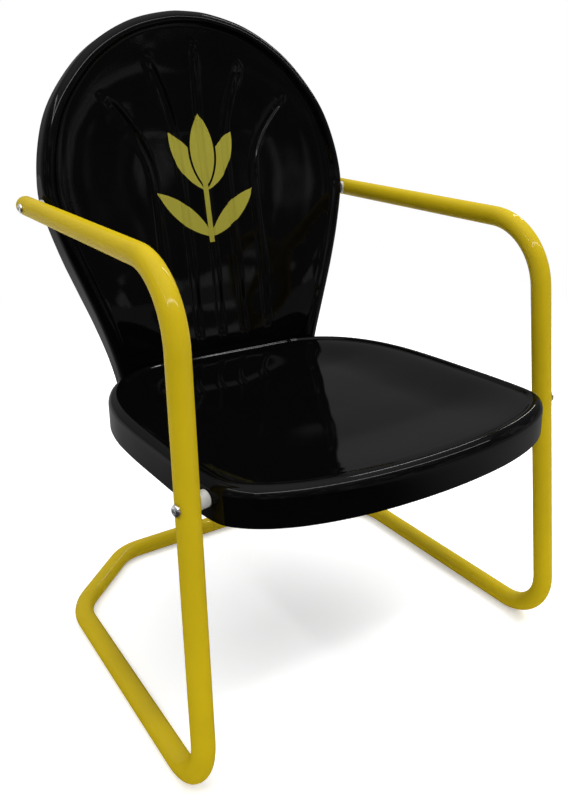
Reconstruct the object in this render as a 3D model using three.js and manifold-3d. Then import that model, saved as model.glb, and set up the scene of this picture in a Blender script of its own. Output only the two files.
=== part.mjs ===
// Retro metal spring lawn chair: a pressed steel seat and back on a cantilever frame of bent tube.
// Millimetres, +Z up. The chair faces -Y, and left is the side at -X.
// While it is being built, Y is 0 at the front corner of the frame and Z is 0 at the floor.

import * as THREE from 'three';
import { mergeVertices } from 'three/addons/utils/BufferGeometryUtils.js';
import Module from 'manifold-3d';

const wasm = await Module();
wasm.setup();

// Clearances
const clearance = 0.3; // between pieces that touch on the real chair
const overrun = 2; // how far a cutter passes the wall it cuts

// Frame tube
const tubeDiameter = 25.4;
const tubeWall = 1.6;
const tubeSides = 16;
const bendStep = THREE.MathUtils.degToRad(14); // turn from one ring of a bend to the next

// Frame, measured on the tube's centre line
const frameWidth = 532.8; // between the runners
const runnerLength = 397.4; // from the front corner to the rear corner
const baseDepth = 503; // from the front corner to the crossbar
const crossbarWidth = 314.4; // between the crossbar's corners
const armHeight = 566.8; // of the corner of leg and arm, above the floor
const legRake = 54.8; // how far that corner lies behind the front corner
const legLean = 18; // how far it lies further in
const armRise = 12.6; // from that corner to the end of the arm
const armToe = 7.8; // how far the arm's end lies further out
const armBendRadius = 88;
const floorBendRadius = 64;
const runnerBendRadius = 75;
const crossbarBendRadius = 60;
const springSlit = 0.8; // cut across the tube where the sprung part begins
const slitAboveBend = 2;
const crossbarGap = 0.6; // between the halves of the crossbar

// Domed cap in the end of each arm
const capDomeHeight = 7;
const capPlugLength = 14;
const capDomeRings = 5;

// Sleeve inside the crossbar, and its screws
const sleeveLength = 120;
const sleeveScrewSpacing = 70;
const sleeveScrewShank = 4.8;
const sleeveScrewHead = 9;
const sleeveScrewHeadHeight = 2.6;
const sleeveScrewReach = 4; // past the sleeve's wall

// Pressed sheet
const sheetThickness = 1.5;

// Back shell. Its heights are measured from its bottom.
const backArmShare = 0.517; // share of its height at which it is bolted to the arms
const backBelowSkirt = 3.9; // how far it reaches below the seat's rear skirt
const backUpright = 64; // height of its upright lower part, above which it leans back
const backBendRadius = 694;
const backRecline = THREE.MathUtils.degToRad(10.8);
const backEdgeRadius = 12;
const backBandWidth = 14; // from the outline to the crease
const backCreaseWidth = 7;
const backBandFall = 0.3;
const backCreaseDepth = 7.8;
const backDishDepth = 9;
const backDishReach = 110;
const backDishBottom = 40; // up to this height the panel is flat, to lap the seat
const backDishFull = 126; // from this height the dish is at its full depth
const backFlangeDepth = 31; // at its least
const backFlangeFlare = THREE.MathUtils.degToRad(1);
const backFlangeStraightShares = [0.045, 0.595]; // of the height: the flange's rear edge is straight here
const backRows = 22;
// Right half of the outline from the bottom to the top: shares of the half width and of the height
const backOutlineShares = [
  [0.674, 0], [0.714, 0.093], [0.783, 0.207], [0.859, 0.311], [0.935, 0.416], [0.992, 0.517], [1, 0.566],
  [0.973, 0.653], [0.905, 0.745], [0.792, 0.824], [0.619, 0.904], [0.379, 0.967], [0.13, 0.9965], [0, 1],
];
const backCornerShares = [0.619, 0.904]; // where the sides of the panel's grid meet its top

// Flutes pressed into the back: they run upright, then fan out. Their heights are shares of the back's.
const fluteHalfWidth = 7;
const fluteDepth = 2.6;
const fluteTaper = 22; // length over which an end runs out
const fluteBottomShare = 0.125;
const flutes = [
  { offset: 0, fan: 0, fanStartShare: 0.633, topShare: 0.918, limitShare: 0 },
  { offset: 38, fan: 37, fanStartShare: 0.633, topShare: 0.8815, limitShare: 0.5 },
  { offset: 80, fan: 63, fanStartShare: 0.557, topShare: 0.781, limitShare: 0.82 },
];

// Seat shell
const seatFront = -58; // Y of its front edge
const seatRear = 430; // Y of its rear skirt
const seatHeight = 362.4; // of the rim over the frame's front corner
const seatPitch = THREE.MathUtils.degToRad(1.4); // the rim falls to the rear
const seatEdgeRadius = 13;
const seatBandWidth = 14.5;
const seatCreaseWidth = 6;
const seatBandFall = 0.5;
const seatCreaseDepth = 3.5;
const seatDishDepth = 13;
const seatDishReach = 130;
const seatSkirtDepth = 42;
const seatColumns = 16;
const seatRows = 18;
// Right half of the outline from the front to the rear: shares of the half width and of the depth
const seatOutlineShares = [
  [0, 0], [0.42, 0.016], [0.7, 0.053], [0.86, 0.096], [0.95, 0.141], [0.973, 0.17], [0.985, 0.205],
  [0.996, 0.3], [1, 0.42], [1, 0.58], [0.985, 0.69], [0.94, 0.79], [0.865, 0.87], [0.775, 0.926],
  [0.674, 0.965], [0.568, 0.99], [0.442, 1.002], [0.2, 1.002], [0, 1.002],
];
const seatFrontCornerShares = [0.93, 0.125];
const seatRearCornerShares = [0.82, 0.9];

// Bolts at the arms and legs
const boltShank = 6;
const boltHead = 12.5;
const boltHeadHeight = 3.3;
// Profile of the head from its top to its underside: shares of its height and of its diameter
const boltHeadShares = [[1, 0], [1, 0.3], [0.75, 0.42], [0.35, 0.5], [0, 0.5]];
const boltSocketAcross = 4;
const boltSocketDepth = 2;
const boltSides = 12;
const nutAcross = 10;
const nutHeight = 6;
const washerDiameter = 12;
const washerThickness = 1.5;
const boltTail = 1.5; // of the shank past its nut
const armBoltSetback = 30; // from the arm's end
const armBoltInset = 15; // behind the back's face
const armGap = 3.3; // between the arm's tube and the back at its widest
const armSpacerDiameter = 19;
const legBoltDrop = 20.4; // below the seat's rim at the front of the frame
const legGap = 5.5; // between the leg's tube and the seat at its widest
const legBoltSwing = THREE.MathUtils.degToRad(12); // turned to meet the seat's rounded side
const legSpacerDiameter = 18.5;

// Bolts that lap the back to the seat's rear skirt
const lapBoltPlaceShares = [-0.39, -0.135, 0.135, 0.39]; // of the seat's half width

// Colours
const frameColour = 0xc7ac22;
const shellColour = 0x0b0b0c;
const steelColour = 0xb9bcc0;
const spacerColour = 0xeeeeea;

const tubeRadius = tubeDiameter / 2;
const boreDiameter = tubeDiameter - 2 * tubeWall;
const boltRadius = boltShank / 2;
const tubeCornerRadius = tubeRadius / Math.cos(Math.PI / tubeSides);

// Places that follow from the sizes above
const seatRim = (y) => seatHeight - y * Math.tan(seatPitch);
const backBottom = seatRim(seatRear) - seatSkirtDepth - backBelowSkirt;
const backFront = seatRear + clearance - backCreaseDepth;
const legBoltHeight = seatHeight - legBoltDrop;
const lapBoltHeight = seatRim(seatRear) - (seatEdgeRadius + seatSkirtDepth) / 2;

// Turns a closed geometry into a solid that can be joined and cut.
function toSolid(geometry) {
  const bare = geometry.clone();
  bare.deleteAttribute('normal');
  bare.deleteAttribute('uv');
  const merged = mergeVertices(bare);
  const mesh = new wasm.Mesh({
    numProp: 3,
    vertProperties: new Float32Array(merged.attributes.position.array),
    triVerts: new Uint32Array(merged.index.array),
  });
  return new wasm.Manifold(mesh);
}

function toGeometry(solid) {
  const mesh = solid.getMesh();
  const geometry = new THREE.BufferGeometry();
  geometry.setAttribute('position', new THREE.BufferAttribute(mesh.vertProperties, mesh.numProp));
  geometry.setIndex(new THREE.BufferAttribute(mesh.triVerts, 1));
  geometry.computeVertexNormals();
  return geometry;
}

function cut(geometry, cutters) {
  let solid = toSolid(geometry);
  for (const cutter of cutters) solid = solid.subtract(toSolid(cutter));
  return toGeometry(solid);
}

// A polygon whose flats, not its corners, face the axes of its section.
function polygonPoints(acrossFlats, sides) {
  const radius = acrossFlats / 2 / Math.cos(Math.PI / sides);
  return Array.from({ length: sides }, (_, i) => {
    const angle = ((i + 0.5) / sides) * 2 * Math.PI;
    return new THREE.Vector2(radius * Math.cos(angle), radius * Math.sin(angle));
  });
}

// A path of straight runs and round bends. Each of its stations is one ring of the tube, so a straight
// run needs none between its ends.
class BentPath extends THREE.Curve {
  constructor(corners, radii) {
    super();
    this.stations = [];
    this.addStation(corners[0], corners[1].clone().sub(corners[0]).normalize());
    for (let i = 1; i < corners.length - 1; i += 1) {
      this.addBend(corners[i - 1], corners[i], corners[i + 1], radii[i - 1]);
    }
    const [beforeLast, last] = corners.slice(-2);
    this.addStation(last, last.clone().sub(beforeLast).normalize());
  }

  get steps() {
    return this.stations.length - 1;
  }

  addStation(point, tangent) {
    this.stations.push({ point, tangent });
  }

  addBend(before, corner, after, radius) {
    const inward = corner.clone().sub(before).normalize();
    const outward = after.clone().sub(corner).normalize();
    const turn = inward.angleTo(outward);
    const start = corner.clone().addScaledVector(inward, -radius * Math.tan(turn / 2));
    const axis = inward.clone().cross(outward).normalize();
    const toCentre = axis.clone().cross(inward);
    const centre = start.clone().addScaledVector(toCentre, radius);
    const count = Math.ceil(turn / bendStep);
    for (let i = 0; i <= count; i += 1) {
      const angle = (i / count) * turn;
      const spoke = start.clone().sub(centre).applyAxisAngle(axis, angle);
      this.addStation(centre.clone().add(spoke), inward.clone().applyAxisAngle(axis, angle));
    }
  }

  stationAt(share) {
    return this.stations[Math.round(share * this.steps)];
  }

  getPointAt(share, target = new THREE.Vector3()) {
    return target.copy(this.stationAt(share).point);
  }

  getTangentAt(share, target = new THREE.Vector3()) {
    return target.copy(this.stationAt(share).tangent);
  }
}

// A tube of a many-sided section along a path, hollow where it has a bore.
function tubeAlong(path, acrossFlats, boreAcross) {
  const section = new THREE.Shape(polygonPoints(acrossFlats, tubeSides));
  if (boreAcross) section.holes.push(new THREE.Path(polygonPoints(boreAcross, tubeSides)));
  return new THREE.ExtrudeGeometry(section, { steps: path.steps, extrudePath: path });
}

// A round piece turned about +X, from a profile of [x, radius] pairs that starts and ends on the axis.
function turned(profile, segments = boltSides) {
  const points = profile.map(([x, radius]) => new THREE.Vector2(radius, x));
  return new THREE.LatheGeometry(points, segments).rotateZ(-Math.PI / 2);
}

function rod(diameter, start, end) {
  return turned([[start, 0], [start, diameter / 2], [end, diameter / 2], [end, 0]]);
}

// A flat piece of thickness `length` along +X, from x = start.
function plate(outline, holeDiameter, start, length) {
  const shape = new THREE.Shape(outline);
  shape.holes.push(new THREE.Path(polygonPoints(holeDiameter, boltSides)));
  return new THREE.ExtrudeGeometry(shape, { depth: length, bevelEnabled: false })
    .rotateY(Math.PI / 2)
    .translate(start, 0, 0);
}

// A button-head bolt along +X, from under its head to its tip.
function boltGeometry(headSeat, reach) {
  const headProfile = boltHeadShares.map(([x, radius]) => [headSeat - x * boltHeadHeight, radius * boltHead]);
  const shank = [[headSeat, boltRadius], [reach, boltRadius], [reach, 0]];
  const body = turned([...headProfile, ...shank]);
  const socket = new THREE.ExtrudeGeometry(new THREE.Shape(polygonPoints(boltSocketAcross, 6)), {
    depth: boltSocketDepth + overrun,
    bevelEnabled: false,
  });
  socket.rotateY(Math.PI / 2).translate(headSeat - boltHeadHeight - overrun, 0, 0);
  return cut(body, [socket]);
}

function washerGeometry(start) {
  return plate(polygonPoints(washerDiameter, boltSides), boltShank + 2 * clearance, start, washerThickness);
}

function nutGeometry(start) {
  return plate(polygonPoints(nutAcross, 6), boltShank + 2 * clearance, start, nutHeight);
}

// Turns a surface, given as points and faces that face out, into a sheet of some thickness.
function thicken(points, faces, thickness) {
  const surface = new THREE.BufferGeometry().setFromPoints(points);
  surface.setIndex(faces.flat());
  surface.computeVertexNormals();
  const normals = surface.attributes.normal;
  const rear = points.map((point, i) => {
    const normal = new THREE.Vector3().fromBufferAttribute(normals, i);
    return point.clone().addScaledVector(normal, -thickness);
  });
  const count = points.length;
  const edges = new Set();
  const sheet = [];
  for (const [a, b, c] of faces) {
    sheet.push(a, b, c, count + c, count + b, count + a);
    edges.add(`${a} ${b}`).add(`${b} ${c}`).add(`${c} ${a}`);
  }
  for (const edge of edges) {
    const [a, b] = edge.split(' ').map(Number);
    if (!edges.has(`${b} ${a}`)) sheet.push(b, a, count + a, b, count + a, count + b);
  }
  const geometry = new THREE.BufferGeometry().setFromPoints([...points, ...rear]);
  geometry.setIndex(sheet);
  geometry.computeVertexNormals();
  return geometry;
}

// A pressed shell. The panel is a grid of rows of (u, v, depth) points. The border is a list of strips'
// edges, one list of (u, v, depth) points for each point round the panel's edge, and `place` gives the
// place of such a point on the chair.
function pressedShell(panel, edge, border, closed, place) {
  const columns = panel[0].length;
  const points = panel.flat().map(place);
  const faces = [];
  const quad = (a, b, c, d) => faces.push([a, b, c], [a, c, d]);
  for (let row = 0; row < panel.length - 1; row += 1) {
    for (let column = 0; column < columns - 1; column += 1) {
      const corner = row * columns + column;
      quad(corner, corner + 1, corner + columns + 1, corner + columns);
    }
  }
  let inner = edge.map(([row, column]) => row * columns + column);
  for (let ring = 0; ring < border[0].length; ring += 1) {
    const outer = border.map((strip) => points.push(place(strip[ring])) - 1);
    const last = closed ? outer.length : outer.length - 1;
    for (let i = 0; i < last; i += 1) {
      const next = (i + 1) % outer.length;
      quad(inner[i], outer[i], outer[next], inner[next]);
    }
    inner = outer;
  }
  return thicken(points, faces, sheetThickness);
}

// The [row, column] of each point round a grid's edge, up its right side, over its top, down its left
// side and, where it is closed, back along its bottom.
function gridEdge(rows, columns, closed) {
  const edge = [];
  for (let row = 0; row < rows; row += 1) edge.push([row, columns - 1]);
  for (let column = columns - 2; column >= 0; column -= 1) edge.push([rows - 1, column]);
  for (let row = rows - 2; row >= 0; row -= 1) edge.push([row, 0]);
  if (closed) for (let column = 1; column < columns - 1; column += 1) edge.push([0, column]);
  return edge;
}

// An outline in (u, v) with the mirror image of its right half, as a curve whose z is 0.
function mirroredOutline(shares, halfWidth, start, length, closed) {
  const right = shares.map(([u, v]) => new THREE.Vector3(u * halfWidth, start + v * length, 0));
  const left = right.filter((point) => point.x > 0).reverse().map((p) => new THREE.Vector3(-p.x, p.y, 0));
  const curve = new THREE.CatmullRomCurve3([...right, ...left], closed, 'centripetal');
  curve.arcLengthDivisions = 2000;
  return curve;
}

// The share of an outline's length at which it passes nearest to a point.
function nearestShare(curve, u, v) {
  const samples = curve.arcLengthDivisions;
  const target = new THREE.Vector3(u, v, 0);
  let nearest = 0;
  let least = Infinity;
  for (let i = 0; i <= samples; i += 1) {
    const distance = curve.getPointAt(i / samples).distanceTo(target);
    if (distance < least) {
      least = distance;
      nearest = i / samples;
    }
  }
  return nearest;
}

// A point on an outline moved inwards by `inset`, as (u, v, depth). Outlines run anticlockwise.
function insetPoint(curve, share, inset, depth, limit = (point) => point) {
  const tangent = curve.getTangentAt(share);
  const point = curve.getPointAt(share);
  return limit(new THREE.Vector3(point.x - tangent.y * inset, point.y + tangent.x * inset, depth));
}

// The border of a shell from its panel outwards, as pairs of [inset, depth]: crease, band and rolled edge.
function borderSteps(edgeRadius, bandWidth, bandFall) {
  const rolled = [60, 30, 0].map((degrees) => {
    const angle = THREE.MathUtils.degToRad(degrees);
    return [edgeRadius * (1 - Math.cos(angle)), edgeRadius * (1 - Math.sin(angle))];
  });
  return [[bandWidth, bandFall], [edgeRadius, 0], ...rolled];
}

// How much of its full depth a dish has at its distances from two edges.
function dishShare(distances, reach) {
  const shares = distances.map((distance) => THREE.MathUtils.smoothstep(distance, 0, reach));
  return shares[0] * shares[1];
}

// Shares from 0 to 1 that lie closer together at both ends.
function crowdedShares(count) {
  return Array.from({ length: count }, (_, i) => (1 - Math.cos((Math.PI * i) / (count - 1))) / 2);
}

// The back's face is upright at the bottom, then bends and leans back.
function backFace(height) {
  const bendHeight = backBendRadius * Math.sin(backRecline);
  const bendDepth = backBendRadius * (1 - Math.cos(backRecline));
  const aboveUpright = height - backUpright;
  if (aboveUpright <= 0) return { y: backFront, lean: 0 };
  if (aboveUpright <= bendHeight) {
    const lean = Math.asin(aboveUpright / backBendRadius);
    return { y: backFront + backBendRadius * (1 - Math.cos(lean)), lean };
  }
  const aboveBend = aboveUpright - bendHeight;
  return { y: backFront + bendDepth + aboveBend * Math.tan(backRecline), lean: backRecline };
}

// Frame. Its arms end just behind the back, which is bolted to them.
const armEndHeight = armHeight + armRise;
const backHeight = (armEndHeight - backBottom) / backArmShare;
const fluteBottom = fluteBottomShare * backHeight;
const armEndY = backFace(armEndHeight - backBottom).y + armBoltInset + armBoltSetback;

const frameCorners = (side) => ({
  crossbarMiddle: new THREE.Vector3(side * (crossbarGap / 2), baseDepth, tubeRadius),
  crossbarCorner: new THREE.Vector3(side * (crossbarWidth / 2), baseDepth, tubeRadius),
  rearCorner: new THREE.Vector3(side * (frameWidth / 2), runnerLength, tubeRadius),
  frontCorner: new THREE.Vector3(side * (frameWidth / 2), 0, tubeRadius),
  armCorner: new THREE.Vector3(side * (frameWidth / 2 - legLean), legRake, armHeight),
  armEnd: new THREE.Vector3(side * (frameWidth / 2 - legLean + armToe), armEndY, armEndHeight),
});

// Where a straight run of the tube passes a given y or z.
function pointOnRun(start, end, axis, value) {
  return start.clone().lerp(end, (value - start[axis]) / (end[axis] - start[axis]));
}

const right = frameCorners(1);
const armBoltPlace = pointOnRun(right.armCorner, right.armEnd, 'y', right.armEnd.y - armBoltSetback);
const legBoltPlace = pointOnRun(right.frontCorner, right.armCorner, 'z', legBoltHeight);
const backHalfWidth = armBoltPlace.x - tubeRadius - armGap;
const seatHalfWidth = legBoltPlace.x - tubeRadius - legGap;

// The slit lies across the leg just above the floor bend. The chair springs about it.
function slitPlace(side) {
  const { rearCorner, frontCorner, armCorner } = frameCorners(side);
  const down = frontCorner.clone().sub(armCorner).normalize();
  const back = rearCorner.clone().sub(frontCorner).normalize();
  const bendLength = floorBendRadius * Math.tan(down.angleTo(back) / 2);
  return { centre: frontCorner.clone().addScaledVector(down, -bendLength - slitAboveBend), down };
}

function baseTube(side) {
  const corners = frameCorners(side);
  const { centre, down } = slitPlace(side);
  const top = centre.clone().addScaledVector(down, springSlit / 2);
  const path = new BentPath(
    [corners.crossbarMiddle, corners.crossbarCorner, corners.rearCorner, corners.frontCorner, top],
    [crossbarBendRadius, runnerBendRadius, floorBendRadius],
  );
  return tubeAlong(path, tubeDiameter, boreDiameter);
}

// The arm's tube stops where its cap's dome starts.
function armTubePath(side) {
  const corners = frameCorners(side);
  const { centre, down } = slitPlace(side);
  const bottom = centre.clone().addScaledVector(down, -springSlit / 2);
  const along = corners.armEnd.clone().sub(corners.armCorner).normalize();
  const end = corners.armEnd.clone().addScaledVector(along, -capDomeHeight - clearance);
  return new BentPath([bottom, corners.armCorner, end], [armBendRadius]);
}

function placeOnBack(point) {
  const { y, lean } = backFace(point.y);
  return new THREE.Vector3(
    point.x,
    y + point.z * Math.cos(lean),
    backBottom + point.y - point.z * Math.sin(lean),
  );
}

function backFlange(height) {
  const [low, high] = backFlangeStraightShares.map((share) => share * backHeight);
  const share = THREE.MathUtils.clamp((height - low) / (high - low), 0, 1);
  const straight = THREE.MathUtils.lerp(backFace(low).y, backFace(high).y, share);
  const bow = height > low && height < high ? straight - backFace(height).y : 0;
  const depth = backFlangeDepth + bow;
  return [(backEdgeRadius - depth) * Math.tan(backFlangeFlare), depth];
}

const backOutline = mirroredOutline(backOutlineShares, backHalfWidth, 0, backHeight, false);
const backPanelInset = backBandWidth + backCreaseWidth;

// The x of a flute's middle at a height, kept inside a panel of some half width.
function fluteLine(flute, height, halfWidth) {
  const share = height / backHeight;
  const reach = flute.topShare - flute.fanStartShare;
  const fan = flute.fan * (Math.max(0, share - flute.fanStartShare) / reach) ** 2;
  return Math.min(flute.offset + fan, flute.limitShare * halfWidth);
}

// The columns of the back's grid at a height: four to each flute, and some between.
function backColumns(height, halfWidth) {
  const right = [];
  const shoulders = [-fluteHalfWidth, -fluteHalfWidth / 2, fluteHalfWidth / 2, fluteHalfWidth];
  for (const flute of flutes) {
    const middle = fluteLine(flute, height, halfWidth);
    if (right.length) {
      right.push((right.at(-1) + middle - fluteHalfWidth) / 2);
    }
    right.push(...shoulders.map((shoulder) => middle + shoulder).filter((x) => x > 0));
  }
  const last = right.at(-1);
  right.push(last + (halfWidth - last) / 3, last + ((halfWidth - last) * 2) / 3, halfWidth);
  return [...right.toReversed().map((x) => -x), ...right];
}

function fluteDepthAt(x, height, halfWidth) {
  let depth = 0;
  for (const flute of flutes) {
    const across = Math.abs(Math.abs(x) - fluteLine(flute, height, halfWidth)) / fluteHalfWidth;
    const wall = 1 - THREE.MathUtils.smoothstep(across, 0.5, 1);
    const lower = THREE.MathUtils.smoothstep(height, fluteBottom, fluteBottom + fluteTaper);
    const top = flute.topShare * backHeight;
    const upper = 1 - THREE.MathUtils.smoothstep(height, top - fluteTaper, top);
    depth = Math.max(depth, wall * lower * upper);
  }
  return depth * fluteDepth;
}

function backShell() {
  const [cornerU, cornerV] = backCornerShares;
  const corner = nearestShare(backOutline, cornerU * backHalfWidth, cornerV * backHeight);
  const sideShares = Array.from({ length: backRows }, (_, i) => (corner * i) / (backRows - 1));
  const cornerPoint = insetPoint(backOutline, corner, backPanelInset, 0);

  // The top row's columns are found on the outline itself.
  const topXs = backColumns(backHeight, cornerPoint.x);
  const topShares = topXs.map((x) => {
    let low = corner;
    let high = 1 - corner;
    while (high - low > 1e-9) {
      const middle = (low + high) / 2;
      if (insetPoint(backOutline, middle, backPanelInset, 0).x > x) low = middle;
      else high = middle;
    }
    return (low + high) / 2;
  });
  const arch = topShares.map((share) => insetPoint(backOutline, share, backPanelInset, 0).y - cornerPoint.y);

  const panel = sideShares.map((share, row) => {
    const side = insetPoint(backOutline, share, backPanelInset, 0);
    const rise = (row / (backRows - 1)) ** 3;
    const guess = side.y + (rise * Math.max(...arch)) / 2;
    return backColumns(guess, side.x).map((x, column) => {
      const height = side.y + rise * arch[column];
      const toSide = (side.x - Math.abs(x)) * 0.9;
      const toTop = (1 - rise) * (backHeight - height);
      const aboveLap = THREE.MathUtils.smoothstep(height, backDishBottom, backDishFull);
      const dished = aboveLap * backDishDepth * dishShare([toSide, toTop], backDishReach);
      const fluted = fluteDepthAt(x, height, side.x);
      return new THREE.Vector3(x, height, backCreaseDepth + dished + fluted);
    });
  });

  const edge = gridEdge(backRows, topXs.length, false);
  const steps = borderSteps(backEdgeRadius, backBandWidth, backBandFall);
  const topRow = backRows - 1;
  const border = edge.map(([row, column]) => {
    let share = 1 - sideShares[row];
    if (row === topRow) share = topShares[column];
    else if (column > 0) share = sideShares[row];
    const flange = backFlange(backOutline.getPointAt(share).y);
    return [...steps, flange].map(([inset, depth]) => insetPoint(backOutline, share, inset, depth));
  });
  return pressedShell(panel, edge, border, false, placeOnBack);
}

// Seat: its rim is a plane that falls to the rear.
const seatDepth = seatRear - seatFront;
const seatOutline = mirroredOutline(seatOutlineShares, seatHalfWidth, seatFront, seatDepth, true);

function placeOnSeat(point) {
  return new THREE.Vector3(point.x, point.y, seatRim(point.y) - point.z);
}

function seatShell() {
  const atCorner = ([u, v]) => nearestShare(seatOutline, u * seatHalfWidth, seatFront + v * seatDepth);
  const frontCorner = atCorner(seatFrontCornerShares);
  const rearCorner = atCorner(seatRearCornerShares);
  const panelInset = seatBandWidth + seatCreaseWidth;
  // The rear skirt is pressed flat where the back laps it.
  const at = (share, inset, depth) => {
    const flat = (point) => point.setY(Math.min(point.y, seatRear - inset));
    return insetPoint(seatOutline, THREE.MathUtils.euclideanModulo(share, 1), inset, depth, flat);
  };
  const rowShares = crowdedShares(seatRows);
  const columnShares = crowdedShares(seatColumns);
  const between = THREE.MathUtils.lerp;
  const shareOf = ([row, column]) => {
    if (column === seatColumns - 1) return between(frontCorner, rearCorner, rowShares[row]);
    if (row === seatRows - 1) return between(1 - rearCorner, rearCorner, columnShares[column]);
    if (column === 0) return between(1 - frontCorner, 1 - rearCorner, rowShares[row]);
    return between(-frontCorner, frontCorner, columnShares[column]);
  };
  const onEdge = (row, column) => at(shareOf([row, column]), panelInset, 0);

  // Each inner point of the panel is blended from the four sides.
  const lastRow = seatRows - 1;
  const lastColumn = seatColumns - 1;
  const panel = rowShares.map((v, row) => columnShares.map((u, column) => {
    const point = new THREE.Vector3()
      .addScaledVector(onEdge(row, 0), 1 - u)
      .addScaledVector(onEdge(row, lastColumn), u)
      .addScaledVector(onEdge(0, column), 1 - v)
      .addScaledVector(onEdge(lastRow, column), v)
      .addScaledVector(onEdge(0, 0), -(1 - u) * (1 - v))
      .addScaledVector(onEdge(0, lastColumn), -u * (1 - v))
      .addScaledVector(onEdge(lastRow, 0), -(1 - u) * v)
      .addScaledVector(onEdge(lastRow, lastColumn), -u * v);
    const inwards = Math.min(u, 1 - u) * 2 * seatHalfWidth;
    const lengthwise = Math.min(v, 1 - v) * seatDepth;
    return point.setZ(seatCreaseDepth + seatDishDepth * dishShare([inwards, lengthwise], seatDishReach));
  }));

  const edge = gridEdge(seatRows, seatColumns, true);
  const steps = [...borderSteps(seatEdgeRadius, seatBandWidth, seatBandFall), [0, seatSkirtDepth]];
  const border = edge.map((place) => steps.map(([inset, depth]) => at(shareOf(place), inset, depth)));
  return pressedShell(panel, edge, border, true, placeOnSeat);
}

// Places a piece of a side bolt. Its x runs inwards from the tube's centre line, and it is swung towards
// the rear.
function placeSidePiece(geometry, side, { tubeCentre, swing }) {
  const turn = side > 0 ? Math.PI - swing : swing;
  return geometry.rotateZ(turn).translate(side * tubeCentre.x, tubeCentre.y, tubeCentre.z);
}

// The distances from the tube's centre line to the two faces of a shell's wall, where a rod of some
// diameter along the bolt would meet it.
function wallFaces(shell, place, diameter) {
  const { tubeCentre, swing } = place;
  const wall = shell.clone().translate(tubeCentre.x, -tubeCentre.y, -tubeCentre.z).rotateZ(-swing);
  const probe = rod(diameter, 0, tubeCentre.x);
  const crossings = toSolid(wall).intersect(toSolid(probe)).decompose().map((part) => part.boundingBox());
  const nearest = crossings.reduce((a, b) => (b.min[0] < a.min[0] ? b : a));
  return { outside: nearest.min[0], inside: nearest.max[0] };
}

// A side bolt passes from outside the tube through the tube, a spacer and a shell's wall.
function sideBolt(tubeCentre, swing, shell, spacerDiameter) {
  const place = { tubeCentre, swing };
  const washerStart = wallFaces(shell, place, washerDiameter).inside + clearance;
  const nutStart = washerStart + washerThickness + clearance;
  return {
    ...place,
    headSeat: -tubeCornerRadius - clearance,
    spacerEnd: wallFaces(shell, place, spacerDiameter).outside - clearance,
    spacerDiameter,
    washerStart,
    nutStart,
    reach: nutStart + nutHeight + boltTail,
  };
}

const hole = boltShank + 2 * clearance;

const backSheet = backShell();
const seatSheet = seatShell();
const armBolt = sideBolt(armBoltPlace, 0, backSheet, armSpacerDiameter);
const legBolt = sideBolt(legBoltPlace, legBoltSwing, seatSheet, legSpacerDiameter);

function sideHole(side, bolt) {
  return placeSidePiece(rod(hole, -tubeDiameter, bolt.reach + overrun), side, bolt);
}

function armTube(side) {
  const tube = tubeAlong(armTubePath(side), tubeDiameter, boreDiameter);
  return cut(tube, [sideHole(side, armBolt), sideHole(side, legBolt)]);
}

// The spacer is hollowed on one side to sit against the round tube.
function spacer(side, bolt) {
  const body = rod(bolt.spacerDiameter, 0, bolt.spacerEnd);
  const saddle = tubeAlong(armTubePath(side), tubeDiameter + 2 * clearance, 0);
  return cut(placeSidePiece(body, side, bolt), [saddle, sideHole(side, bolt)]);
}

function armCap(side) {
  const { armCorner, armEnd } = frameCorners(side);
  const along = armEnd.clone().sub(armCorner).normalize();
  const plugRadius = boreDiameter / 2 - clearance;
  const profile = [[-capPlugLength, 0], [-capPlugLength, plugRadius], [0, plugRadius], [0, tubeRadius]];
  for (let i = 1; i <= capDomeRings; i += 1) {
    const angle = (i / capDomeRings) * (Math.PI / 2);
    profile.push([capDomeHeight * Math.sin(angle), i < capDomeRings ? tubeRadius * Math.cos(angle) : 0]);
  }
  const turn = new THREE.Quaternion().setFromUnitVectors(new THREE.Vector3(1, 0, 0), along);
  const base = armEnd.clone().addScaledVector(along, -capDomeHeight);
  return turned(profile, tubeSides).applyQuaternion(turn).translate(base.x, base.y, base.z);
}

// Crossbar sleeve and its screws, which enter from the rear.
const sleeveAcross = boreDiameter - 2 * clearance;
const sleeveBore = sleeveAcross - 2 * tubeWall;
const sleeveScrewPlace = (side) => [
  side * (sleeveScrewSpacing / 2),
  baseDepth + tubeRadius + clearance,
  tubeRadius,
];

function alongY(geometry, [x, y, z]) {
  return geometry.rotateZ(-Math.PI / 2).translate(x, y, z);
}

function sleeveScrew(side) {
  const reach = 2 * tubeWall + 2 * clearance + sleeveScrewReach;
  const screw = turned([
    [-sleeveScrewHeadHeight, 0],
    [-sleeveScrewHeadHeight, 0.35 * sleeveScrewHead],
    [-0.5 * sleeveScrewHeadHeight, sleeveScrewHead / 2],
    [0, sleeveScrewHead / 2],
    [0, sleeveScrewShank / 2],
    [reach, sleeveScrewShank / 2],
    [reach, 0],
  ]);
  return alongY(screw, sleeveScrewPlace(side));
}

function sleeveHole(side) {
  const drill = rod(sleeveScrewShank + 2 * clearance, -overrun, 2 * tubeWall + sleeveScrewReach);
  return alongY(drill, sleeveScrewPlace(side));
}

function crossbarSleeve() {
  const ends = [-1, 1].map((end) => new THREE.Vector3(end * (sleeveLength / 2), baseDepth, tubeRadius));
  const sleeve = tubeAlong(new BentPath(ends, []), sleeveAcross, sleeveBore);
  return cut(sleeve, [sleeveHole(-1), sleeveHole(1)]);
}

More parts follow.
